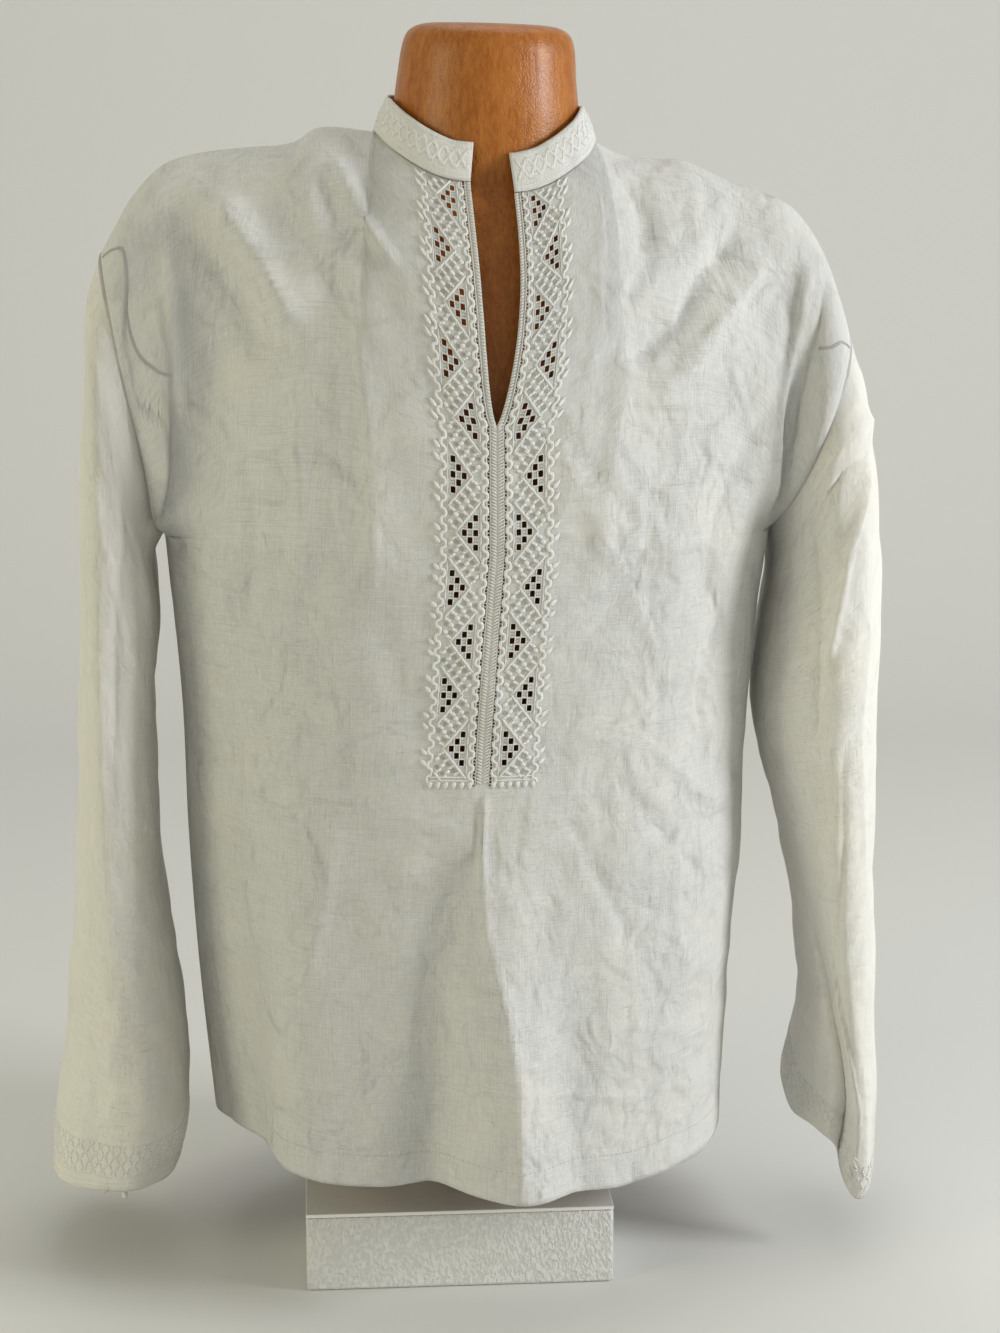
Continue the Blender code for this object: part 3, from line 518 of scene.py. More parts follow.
RIGHT_SLEEVE = in_metres(
    SleeveRow,
    (0.06, 275, 219.5, 624, 502, 570, 572, -80, 82),
    (0.16, 286.5, 219, 565, 470, 520, 522, -87, 90),
    (0.26, 292.5, 213, 500, 430, 466, 468, -90, 93),
    (0.38, 294.5, 211.5, 415, 374, 394, 396, -88, 92),
    (0.5, 294.5, 225.5, 335, 322, 326, 330, -85, 89),
    (0.62, 295, 237.5, 264, 268, 258, 270, -81, 86),
    (0.74, 298.5, 246, 192, 214, 188, 208, -77, 82),
    (0.86, 302, 250, 126, 164, 120, 152, -75, 78),
    (0.94, 301.5, 246, 96, 124, 98, 122, -72, 74),
    (1, 300.5, 238.5, 76, 98, 80, 98, -70, 70),
    plain=1,
)

CuffDrop = namedtuple("CuffDrop", "angle width top_share depth")
CUFF_DROPS = {
    -1: in_metres(CuffDrop, (100, 40, 0.8, 2), (146, 24, 0.8, 5), plain=3),
    1: in_metres(CuffDrop, (72, 23, 0.8, 39), (162, 20, 0.8, 8), plain=3),
}

SleeveFold = namedtuple(
    "SleeveFold", "top_angle foot_angle top_share foot_share width top_depth foot_depth")
LEFT_SLEEVE_FOLDS = in_metres(
    SleeveFold,
    (60, 75, 0.1, 0.45, 16, 4, 3),
    (110, 95, 0.12, 0.5, 14, -5, -3),
    (250, 262, 0.1, 0.6, 18, -5, -4),
    (40, 70, 0.55, 0.95, 16, -2, -5),
    (120, 112, 0.6, 1, 16, 3, 5),
    (300, 290, 0.45, 1, 18, 3, 5),
    plain=5,
)
RIGHT_SLEEVE_FOLDS = in_metres(
    SleeveFold,
    (55, 70, 0.06, 0.35, 16, 4, 3),
    (120, 108, 0.08, 0.45, 15, -5, -4),
    (255, 265, 0.1, 0.6, 18, -5, -4),
    (140, 92, 0.66, 1, 13, -2, -14),
    (105, 62, 0.66, 1, 15, 2, 7),
    (300, 285, 0.45, 1, 18, 3, 6),
    plain=5,
)

# Smaller creases, with places on the panel seen from the front
FRONT_CREASES = creases_of(
    (14, 9.5, (-160, 744), (-127, 700), (-104, 660)),
    (12, -6.5, (-182, 726), (-153, 684), (-128, 636)),
    (9, 5.5, (-194, 722), (-186, 660), (-176, 590)),
    (6.5, 5.6, (-84, 774), (-69, 745), (-53, 718), (-36, 698)),
    (5.5, -4.2, (-96, 770), (-84, 740), (-75, 712)),
    (5, -2.2, (-112, 735), (-92, 700), (-76, 672)),
    (6, -7, (-222, 690), (-223, 650), (-216, 615), (-198, 594)),
    (6, 2, (-204, 690), (-203, 650), (-196, 625)),
    (3, 1.6, (-69, 690), (-63, 606), (-61, 520), (-66, 470)),
    (4, -1.2, (-86, 660), (-84, 600), (-90, 540)),
    (6.5, 3, (-112, 640), (-106, 560), (-112, 480)),
    (8, -3.2, (-146, 600), (-140, 530), (-150, 450)),
    (8.5, -6.8, (194, 724), (160, 694), (142, 664), (100, 634)),
    (7, -3.6, (128, 742), (118, 700), (96, 672)),
    (6, 5, (236, 706), (228, 655), (213, 610), (206, 560), (203, 525)),
    (3, -3, (252, 700), (239, 655), (227, 612), (221, 570)),
    (6, -2.8, (104, 762), (116, 735), (112, 700)),
    (5.5, 2.8, (126, 758), (132, 726), (128, 700)),
    (5, -2.6, (152, 750), (146, 718), (152, 692)),
    (6.5, 3.8, (208, 706), (172, 668), (152, 640), (120, 618)),
    (6, -3, (60, 600), (92, 560), (112, 530)),
    (6, 2.8, (70, 560), (104, 500), (128, 440)),
    (7, -2.8, (196, 600), (168, 540), (160, 470)),
    (7, -3, (178, 470), (160, 420), (168, 350)),
    (6, -2.6, (110, 470), (128, 420), (122, 370)),
    (2.8, 1.8, (79, 757), (83, 735), (80, 670), (72, 623)),
    (3, 1.6, (101, 633), (88, 551), (84, 505)),
    (4, -1.2, (128, 610), (118, 540), (122, 470)),
    (1.6, -1, (6, 372), (3, 335), (0, 296)),
    (2.2, 2.4, (10.5, 370), (8, 330), (6, 296)),
    (6, 3.4, (6, 330), (9, 270), (22, 215), (28, 170), (27, 85)),
    (6.5, 2.4, (-88, 345), (-94, 285), (-110, 215)),
    (2.2, 2, (93, 216), (86, 150)),
    (2.2, 2, (130, 212), (126, 140)),
    (2.2, 2, (90, 201), (130, 190), (172, 173)),
    (2.2, 2.2, (32, 162), (100, 150), (165, 142)),
    (2, -1.2, (40, 174), (34, 145), (30, 118)),
    (7, -3, (58, 360), (87, 300), (118, 236)),
    (5, -2.6, (96, 372), (128, 330), (156, 292)),
    (4.5, 2.2, (110, 395), (148, 360), (176, 330)),
    (4, 2.2, (140, 330), (138, 270), (146, 215)),
    (6, 1.2, (-46, 330), (-40, 240), (-46, 150)),
    (7, 3.2, (-140, 400), (-148, 330), (-146, 240)),
)
BACK_CREASES = creases_of(
    (6, 3.4, (-150, 742), (-120, 700), (-92, 640)),
    (6.5, 3, (185, 722), (150, 690), (108, 640)),
    (4.5, -1.6, (-50, 730), (-36, 660), (-40, 580)),
    (4.5, -1.4, (70, 735), (62, 660), (68, 560)),
    (5, 1.8, (-125, 560), (-118, 460), (-128, 360)),
    (5, 1.8, (128, 540), (120, 440), (130, 350)),
    (3, 1.6, (12, 520), (6, 420), (12, 320)),
    (5, 2, (-90, 300), (-60, 240), (-52, 170)),
    (5, 2, (96, 310), (80, 240), (88, 160)),
    (1.8, 1, (-150, 220), (-100, 205), (-40, 212)),
    (1.8, 1, (40, 180), (100, 190), (160, 176)),
)

# On a sleeve the places are the arc round from its outer line, in front above 0, and the run from the
# armhole
SLEEVE_CREASES = {
    -1: creases_of(
        (9, -1.4, (110, 60), (100, 150), (102, 260)),
        (9, 1.2, (80, 330), (90, 430), (84, 560)),
        (8, -1, (36, 430), (40, 500), (38, 585)),
        (6, 2.4, (-50, 60), (-70, 170), (-80, 320)),
        (6, -2, (-110, 120), (-95, 260), (-100, 400)),
        (5, 1.8, (-60, 380), (-66, 470), (-60, 570)),
    ),
    1: creases_of(
        (7, 4, (10, 20), (40, 60), (84, 110), (104, 190)),
        (6, 3.6, (20, 66), (81, 36), (105, 24), (124, 24)),
        (6.5, -4.2, (14, 92), (50, 74), (84, 54), (112, 46)),
        (6, -3, (126, 50), (110, 130), (108, 240)),
        (5, 1.8, (60, 160), (68, 260), (62, 360)),
        (5, -1.6, (84, 240), (94, 330), (110, 410)),
        (3.6, -5.4, (150, 400), (128, 480), (100, 540), (94, 610)),
        (3.4, 4.6, (124, 400), (110, 460), (88, 520), (78, 610)),
        (6, 2.4, (-50, 60), (-70, 170), (-80, 320)),
        (6, -2, (-112, 120), (-95, 260), (-100, 400)),
        (5, 1.8, (-60, 380), (-66, 470), (-60, 570)),
    ),
}


# Smooth tables and lines

def smooth(value):
    value = np.clip(value, 0.0, 1.0)
    return value * value * (3.0 - 2.0 * value)


def mix(start, end, share):
    return start + (end - start) * share


def points_of(*axes):
    """Points with these coordinates, each an array or one number for all."""
    return np.stack(np.broadcast_arrays(*axes), axis=-1)


def unit(vectors):
    return vectors / np.linalg.norm(vectors, axis=-1, keepdims=True)


def lengths_along(points):
    """Length along a line of points, from its first point to each."""
    return np.concatenate(([0.0], np.cumsum(np.linalg.norm(np.diff(points, axis=0), axis=-1))))


def curve_at(keys, values, key):
    """Values at each key of a smooth curve; with three axes, one curve for each key along the second."""
    keys = np.asarray(keys, float)
    values = np.asarray(values, float)
    key = np.clip(key, keys[0], keys[-1])
    low = np.clip(np.searchsorted(keys, key, side="right") - 1, 0, len(keys) - 2)
    before = np.maximum(np.arange(len(keys)) - 1, 0)
    after = np.minimum(np.arange(len(keys)) + 1, len(keys) - 1)
    run = (keys[after] - keys[before]).reshape((-1,) + (1,) * (values.ndim - 1))
    slopes = (values[after] - values[before]) / run
    span = keys[low + 1] - keys[low]
    t = (key - keys[low]) / span
    if values.ndim == 3:
        which = np.arange(values.shape[1])
        first, second = values[low, which], values[low + 1, which]
        out, into = slopes[low, which], slopes[low + 1, which]
    else:
        first, second = values[low], values[low + 1]
        out, into = slopes[low], slopes[low + 1]
    if values.ndim > 1:
        t = t[:, None]
        span = span[:, None]
    rise = t * t * (3.0 - 2.0 * t)
    return (first * (1.0 - rise) + second * rise
            + out * span * t * (1.0 - t) ** 2 - into * span * t * t * (1.0 - t))


def row_at(rows, key):
    """The row of a table at each key."""
    keys = [row[0] for row in rows]
    return type(rows[0])(*(curve_at(keys, column, key) for column in zip(*rows)))


# The trunk surface, shared by the shirt and the form under it

Trunk = namedtuple("Trunk", "rings shoulders neck_radius neck_front neck_back armhole_front armhole_back")
SHIRT = Trunk(SHIRT_RINGS, (LEFT_SHOULDER, RIGHT_SHOULDER), NECK_RADIUS, NECK_FRONT, NECK_BACK,
              ARMHOLE_FRONT, ARMHOLE_BACK)


def ring_point(trunk, face, across, height):
    row = row_at(trunk.rings, height)
    angle = across * math.pi / 2
    middle = (row.left + row.right) / 2
    half = (row.right - row.left) / 2
    depth = row.front if face < 0 else row.back
    x = middle + half * np.sin(angle) + (row.centre - middle) * np.cos(angle) ** 2
    y = row.side + (face * depth - row.side) * np.cos(angle)
    return points_of(x, y, height)


def shoulder_top(trunk, across):
    """Ends of columns on the shoulder line, or on its run across the neck opening."""
    left, right = trunk.shoulders
    share = np.clip((np.abs(across) - NECK_SHARE) / (1.0 - NECK_SHARE), 0.0, 1.0)
    left_row = row_at(left, share)
    right_row = row_at(right, share)
    angle = np.clip(across / NECK_SHARE, -1.0, 1.0) * math.pi / 2
    neck_x = NECK_X + trunk.neck_radius * np.sin(angle)
    neck_z = mix(left[0].z, right[0].z, (angle / (math.pi / 2) + 1) / 2) + NECK_CROWN * np.cos(angle)
    in_neck = np.abs(across) <= NECK_SHARE
    x = np.where(in_neck, neck_x, np.where(across > 0, right_row.x, left_row.x))
    z = np.where(in_neck, neck_z, np.where(across > 0, right_row.z, left_row.z))
    return x, z


def trunk_point(trunk, face, across, up):
    """Points of the trunk: up is 0 at the hem, 1 at the chest and 2 at the shoulder or neckline."""
    across, up = np.broadcast_arrays(np.asarray(across, float), np.asarray(up, float))
    hem = trunk.rings[0].height
    low = ring_point(trunk, face, across, mix(hem, CHEST_HEIGHT, np.clip(up, 0.0, 1.0)))
    base = ring_point(trunk, face, across, np.full(across.shape, CHEST_HEIGHT))
    top_x, top_z = shoulder_top(trunk, across)
    fullness = 1.0 if face < 0 else BACK_FULLNESS
    neck_depth = trunk.neck_front if face < 0 else trunk.neck_back
    neck_y = neck_depth * np.cos(np.clip(across / NECK_SHARE, -1.0, 1.0) * math.pi / 2)
    reach = np.clip(neck_y / (np.abs(base[..., 1]) + RIDGE_Y), 0.0, 1.0) ** (1.0 / fullness)
    last = np.where(np.abs(across) < NECK_SHARE, np.arccos(reach), math.pi / 2)
    turn = np.clip(up - 1.0, 0.0, 1.0) * last
    lift = np.sin(turn)
    edge = smooth((np.abs(across) - ARMHOLE_BLEND) / (1.0 - ARMHOLE_BLEND))
    armhole = trunk.armhole_front if face < 0 else trunk.armhole_back
    belly = np.where(across > 0, armhole[1], armhole[-1]) * edge ** 2
    x = mix(base[..., 0], top_x, (lift / np.sin(last)) ** (1.0 + edge))
    y = (RIDGE_Y + (base[..., 1] - RIDGE_Y) * np.maximum(np.cos(turn), 0.0) ** fullness
         + face * belly * np.sin(2.0 * turn))
    z = mix(base[..., 2], top_z, lift ** mix(fullness, 2.0, edge))
    return np.where((up <= 1.0)[..., None], low, points_of(x, y, z))


# Folds and creases

def fold_push(folds, x, z):
    push = np.zeros(np.shape(x))
    for fold in folds:
        run_x = fold.foot_x - fold.top_x
        run_z = fold.foot_z - fold.top_z
        share = ((x - fold.top_x) * run_x + (z - fold.top_z) * run_z) / (run_x ** 2 + run_z ** 2)
        along = np.clip(share, 0.0, 1.0)
        off = np.hypot(x - fold.top_x - run_x * along, z - fold.top_z - run_z * along)
        push += mix(fold.top_depth, fold.foot_depth, along) * np.exp(-(off / fold.width) ** 2)
    return push


def crease_push(creases, x, z):
    """Push of crisp creases: a soft crest along each line, fading out towards its two ends."""
    push = np.zeros(np.shape(x))
    for line, width, depth in creases:
        reached = lengths_along(line)
        nearest = np.full(np.shape(x), np.inf)
        place = np.zeros(np.shape(x))
        for start, end, begun, step in zip(line, line[1:], reached, np.diff(reached)):
            run = end - start
            share = np.clip(((x - start[0]) * run[0] + (z - start[1]) * run[1]) / step ** 2, 0.0, 1.0)
            off = np.hypot(x - start[0] - run[0] * share, z - start[1] - run[1] * share)
            place = np.where(off < nearest, begun + share * step, place)
            nearest = np.minimum(nearest, off)
        end_fade = smooth(place / CREASE_END) * smooth((reached[-1] - place) / CREASE_END)
        push += depth * end_fade / (1.0 + (nearest / width) ** 2) ** 2
    return push


def crumple(x, z, phase):
    """Low uneven waves of handled linen; the factors are radians per metre, and how far these drift."""
    wide = (np.sin(41.0 * x + 3.1 * np.sin(13.0 * z + phase) + phase)
            * np.sin(29.0 * z + 2.3 * np.sin(17.0 * x)))
    middling = (np.sin(67.0 * x - 38.0 * z + 2.4 * np.sin(31.0 * z + 23.0 * x + phase))
                * np.sin(53.0 * z + 21.0 * x + 2.1 * np.sin(29.0 * x - phase)))
    fine = (np.sin(131.0 * x + 2.9 * np.sin(57.0 * z) + 2.0 * phase)
            * np.sin(97.0 * z + 3.3 * np.sin(63.0 * x + phase)))
    return CRUMPLE_WIDE * wide + CRUMPLE_MIDDLING * middling + CRUMPLE_FINE * fine


# Shirt panels

def surface_normal(surface, across, up):
    """Outward normals of a front panel's surface, from points close around."""
    left = surface(np.maximum(across - PROBE, -1.0), up)
    right = surface(np.minimum(across + PROBE, 1.0), up)
    low = surface(across, np.maximum(up - PROBE, 0.0))
    high = surface(across, np.minimum(up + PROBE, 2.0))
    return unit(np.cross(right - left, high - low))


def panel_point(face, across, up):
    """Points of the front or back panel, with its folds and creases."""
    folds = FRONT_FOLDS if face < 0 else BACK_FOLDS
    creases = FRONT_CREASES if face < 0 else BACK_CREASES
    plain = partial(trunk_point, SHIRT, face)
    point = plain(across, up)
    x, z = point[..., 0], point[..., 2]
    calm_side = 1.0 - smooth((np.abs(across) - SIDE_CALM_FROM) / (1.0 - SIDE_CALM_FROM))
    calm_top = 1.0 - smooth((up - TOP_CALM_FROM) / (2.0 - TOP_CALM_FROM))
    push = fold_push(folds, x, z) + crease_push(creases, x, z) + crumple(x, z, CRUMPLE_BY_FACE * face)
    normal = surface_normal(plain, across, up) * -face
    return point + normal * (push * calm_side * calm_top)[..., None]


def front_point(across, up, side):
    """Front panel points with the uneven hem, and the slit drawn open to each point's side."""
    point = panel_point(-1, across, up)
    reach = np.maximum(0.0, 1.0 - up) ** HEM_DROP_POWER
    for drop in HEM_DROPS:
        point[..., 2] -= drop.depth * reach * np.exp(-((point[..., 0] - drop.x) / drop.width) ** 2)
    share = np.clip((point[..., 2] - SLIT_BOTTOM) / (SLIT_TOP - SLIT_BOTTOM), 0.0, 1.0)
    spread = np.maximum(0.0, 1.0 - np.abs(across) / SLIT_SPREAD) ** 2
    near_seam = smooth((np.abs(across) - SEAM_HOLD_FROM) / (NECK_SHARE - SEAM_HOLD_FROM))
    spread = spread * (1.0 - near_seam * smooth((up - TOP_CALM_FROM) / (2.0 - TOP_CALM_FROM)))
    gap = SLIT_HALF_GAP * np.sin(math.pi / 2 * share ** SLIT_EASE)
    bow = SLIT_BOW * np.sin(math.pi * share) + SLIT_SHIFT * smooth(share)
    point[..., 0] += (side * gap + bow) * spread
    point[..., 2] -= side * SLIT_DROP * smooth(share) * spread
    return point


def off_cloth(surface, across, up, lift, outward=1.0):
    """Points some way off the outer face of a panel's cloth."""
    normal = surface_normal(surface, across, up) * outward
    return surface(across, up) + normal * (CLOTH + lift)[..., None]


# Cloth sizes on the front: length up from the hem and offset from the middle line

line_ups = np.linspace(0.0, 2.0, CLOTH_LINE_STEPS + 1)
line_points = trunk_point(SHIRT, -1, np.zeros(len(line_ups)), line_ups)
line_lengths = lengths_along(line_points)
FRONT_LENGTH = line_lengths[-1]
FIRST_MOTIF = line_lengths[np.argmax(line_points[:, 2] >= MOTIF_LOWEST)]
MOTIF_LENGTHS = FIRST_MOTIF + MOTIF_PITCH * np.arange(MOTIF_COUNT)
SLIT_START = np.interp(SLIT_BOTTOM, line_points[:, 2], line_lengths)
BAND_LOW = FIRST_MOTIF - BAND_FOOT
BAND_HIGH = FRONT_LENGTH - BAND_TOP_INSET


def up_at(length):
    return np.interp(length, line_lengths, line_ups)


def across_at(offset, up):
    """Columns at offsets from the middle line, found by halving."""
    centre = trunk_point(SHIRT, -1, np.zeros(np.shape(up)), up)[..., 0]
    low = np.zeros(np.shape(offset))
    high = np.full(np.shape(offset), SLIT_SPREAD)
    sign = np.where(np.asarray(offset) < 0.0, -1.0, 1.0)
    for _ in range(HALVINGS):
        guess = (low + high) / 2
        found = np.abs(trunk_point(SHIRT, -1, sign * guess, up)[..., 0] - centre)
        too_low = found < np.abs(offset)
        low = np.where(too_low, guess, low)
        high = np.where(too_low, high, guess)
    return sign * low


def band_place(side):
    """Place function of one half of the front: points at offsets, lengths and lifts off the cloth."""
    def place(offset, length, lift):
        up = up_at(length)
        across = across_at(side * np.maximum(offset, 0.0), up)
        return off_cloth(partial(front_point, side=side), across, up, lift)
    return place


# Sleeves

def armhole_point(side, angle):
    across = np.full(angle.shape, float(side))
    front = trunk_point(SHIRT, -1, across, 2.0 - np.minimum(angle, 180.0) / 180.0)
    back = trunk_point(SHIRT, 1, across, 1.0 + np.maximum(angle - 180.0, 0.0) / 180.0)
    return np.where((angle <= 180.0)[:, None], front, back)


def section_point(row, angle):
    turn = np.radians(angle)
    x = (row.outer_x + row.inner_x) / 2 + (row.outer_x - row.inner_x) / 2 * np.cos(turn)
    y = (row.front_y + row.back_y) / 2 + (row.front_y - row.back_y) / 2 * np.sin(turn)
    mean = (row.outer_z + row.inner_z + row.front_z + row.back_z) / 4
    twist = (row.outer_z + row.inner_z - row.front_z - row.back_z) / 4
    z = (mean + (row.outer_z - row.inner_z) / 2 * np.cos(turn)
         + (row.front_z - row.back_z) / 2 * np.sin(turn) + twist * np.cos(2.0 * turn))
    return points_of(x, y, z)


def angle_between(angle, centre):
    return (angle - centre + 180.0) % 360.0 - 180.0


def sleeve_push(side, angle, share):
    push = np.zeros(angle.shape)
    for fold in (LEFT_SLEEVE_FOLDS if side < 0 else RIGHT_SLEEVE_FOLDS):
        along = (share - fold.top_share) / (fold.foot_share - fold.top_share)
        fade = smooth(along / FOLD_FADE + 1.0) * smooth((1.0 - along) / FOLD_FADE + 1.0)
        held = np.clip(along, 0.0, 1.0)
        off = angle_between(angle, mix(fold.top_angle, fold.foot_angle, held))
        push += mix(fold.top_depth, fold.foot_depth, held) * fade * np.exp(-(off / fold.width) ** 2)
    arc = angle_between(angle, 0.0) / 360.0 * SLEEVE_GIRTH
    run = share * SLEEVE_RUN
    turn = np.radians(angle)
    push += crease_push(SLEEVE_CREASES[side], arc, run)
    push += crumple(SLEEVE_CRUMPLE_RADIUS * np.sin(turn) + SLEEVE_CRUMPLE_SHIFT * side,
                    run + SLEEVE_CRUMPLE_RADIUS * np.cos(turn), side)
    return push


def sleeve_point(side, angle, share):
    """Points of a sleeve: share is 0 at the armhole and 1 at the cuff."""
    angle, share = np.broadcast_arrays(angle, share)
    angle = angle % 360.0
    rows = LEFT_SLEEVE if side < 0 else RIGHT_SLEEVE
    start = armhole_point(side, angle)
    start[:, 2] -= SHOULDER_SINK
    keys = [0.0] + [row.share for row in rows]
    points = np.stack([start] + [section_point(row, angle) for row in rows])
    point = curve_at(keys, points, share)
    push = sleeve_push(side, angle, share) * smooth(share / SLEEVE_CALM)
    turn = np.radians(angle)
    point = point + points_of(side * np.cos(turn), -np.sin(turn), 0.0) * push[:, None]
    for drop in CUFF_DROPS[side]:
        reach = smooth((share - drop.top_share) / (1.0 - drop.top_share))
        point[:, 2] -= drop.depth * reach * np.exp(-(angle_between(angle, drop.angle) / drop.width) ** 2)
    return point


def sleeve_place(side):
    """Place function of a sleeve: arc round from the outer line, length up from the cuff's edge, lift."""
    def place(arc, length, lift):
        angle = arc / SLEEVE_GIRTH * 360.0
        share = 1.0 - length / SLEEVE_RUN
        point = sleeve_point(side, angle, share)
        across = (sleeve_point(side, angle + SLEEVE_PROBE_ANGLE, share)
                  - sleeve_point(side, angle - SLEEVE_PROBE_ANGLE, share))
        down = point - sleeve_point(side, angle, share - SLEEVE_PROBE_SHARE)
        normal = unit(np.cross(across, down)) * side
        return point + normal * (CLOTH + lift)[..., None]
    return place


# Collar

def neckline(angle):
    """Points on the neckline with the cloth's normals; angle is 0 behind and 180 at the slit."""
    turn = np.where(np.abs(angle) > 90.0, 180.0 - np.abs(angle), np.abs(angle))
    sign = np.where(angle < 0.0, -1.0, 1.0)
    across = sign * np.maximum(turn / 90.0 * NECK_SHARE, SLIT_SIDE_NUDGE)
    top = np.full(across.shape, 2.0)
    front_place = partial(front_point, side=sign)
    back_place = partial(panel_point, 1)
    share = smooth((np.abs(angle) - SEAM_BLEND_FROM) / (180.0 - 2.0 * SEAM_BLEND_FROM))[:, None]
    normal = surface_normal(front_place, across, top) * share
    normal -= surface_normal(back_place, across, top) * (1.0 - share)
    place = np.where((np.abs(angle) > 90.0)[:, None], front_place(across, top), back_place(across, top))
    return place, unit(normal)


neck_points, neck_normals = neckline(np.linspace(-180.0, 180.0, COLLAR_COLUMNS + 1))
neck_base = neck_points + neck_normals * CLOTH
neck_inward = unit(points_of(NECK_X - neck_base[:, 0], -neck_base[:, 1], 0.0))
neck_sideways = neck_inward[:, 0] ** 2
neck_rise = unit(neck_inward * mix(COLLAR_LEAN, COLLAR_SIDE_LEAN, neck_sideways)[:, None]
                 + np.array((0.0, 0.0, 1.0)))
neck_height = mix(COLLAR_HEIGHT, COLLAR_SIDE_HEIGHT, neck_sideways)
neck_arcs = lengths_along(neck_base)
neck_outward = -unit(np.cross(np.gradient(neck_base, axis=0), neck_rise))
COLLAR_LENGTH = neck_arcs[-1]


def along_neck(values, arc):
    return np.stack([np.interp(arc, neck_arcs, values[:, i]) for i in range(3)], axis=-1)


def collar_place(arc, height, lift):
    """Points on the collar: arc from its left front end, height as a share of the collar's, lift off it."""
    base = along_neck(neck_base, arc)
    rise = along_neck(neck_rise, arc) * np.interp(arc, neck_arcs, neck_height)[..., None]
    outward = unit(along_neck(neck_outward, arc))
    bulge = COLLAR_BULGE * np.sin(math.pi * np.clip(height, 0.0, 1.0))
    drift = COLLAR_DRIFT * np.sin(arc * COLLAR_DRIFT_TURNS)
    wave = COLLAR_WAVE * np.sin(arc * COLLAR_WAVE_TURNS + drift) * height
    return base + rise * height[..., None] + outward * (bulge + wave + lift)[..., None]


# Meshes

def placed(name, data):
    """A new object in the scene."""
    obj = bpy.data.objects.new(name, data)
    bpy.context.scene.collection.objects.link(obj)
    return obj


def belonging(obj, slot, *nodes):
    """The object as a piece that rides on the part, in place of some of its nodes."""
    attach(obj, "root")
    if nodes:
        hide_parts(*nodes)
    return obj


def cloth_piece(name, verts, faces, uvs, material, *nodes, wall=0.0):
    """A smooth piece of the shirt with its cloth sizes as a map, thickened outwards by a wall."""
    mesh = bpy.data.meshes.new(name)
    mesh.from_pydata((verts + FORM_OFFSET).tolist(), [], faces)
    layer = mesh.uv_layers.new(name="cloth")
    layer.data.foreach_set("uv", np.asarray(uvs, np.float32).ravel())
    mesh.materials.append(material)
    mesh.shade_smooth()
    obj = placed(name, mesh)
    if wall:
        solidify = obj.modifiers.new("cloth", "SOLIDIFY")
        solidify.thickness = wall
        solidify.offset = 1.0
        solidify.use_quality_normals = True
    return belonging(obj, "white_linen", *nodes)


def grid_arrays(points, maps, wrap=False, flip=False, keep=None):
    """Vertices, faces and corner maps of a grid of points."""
    rows, columns = points.shape[:2]
    index = np.arange(rows * columns).reshape(rows, columns)
    if wrap:
        index = np.concatenate((index, index[:, :1]), axis=1)
    map_index = np.arange(maps.shape[0] * maps.shape[1]).reshape(maps.shape[:2])

    def corners(table):
        order = (table[:-1, :-1], table[:-1, 1:], table[1:, 1:], table[1:, :-1])
        return np.stack(order[::-1] if flip else order, axis=-1)

    quads = corners(index)
    chosen = np.ones(quads.shape[:2], bool) if keep is None else keep
    uvs = maps.reshape(-1, 2)[corners(map_index)[chosen].ravel()]
    return points.reshape(-1, 3), quads[chosen], uvs


def grid_piece(name, points, maps, material, wall, *nodes, **how):
    verts, faces, uvs = grid_arrays(points, maps, **how)
    return cloth_piece(name, verts, faces.tolist(), uvs, material, *nodes, wall=wall)


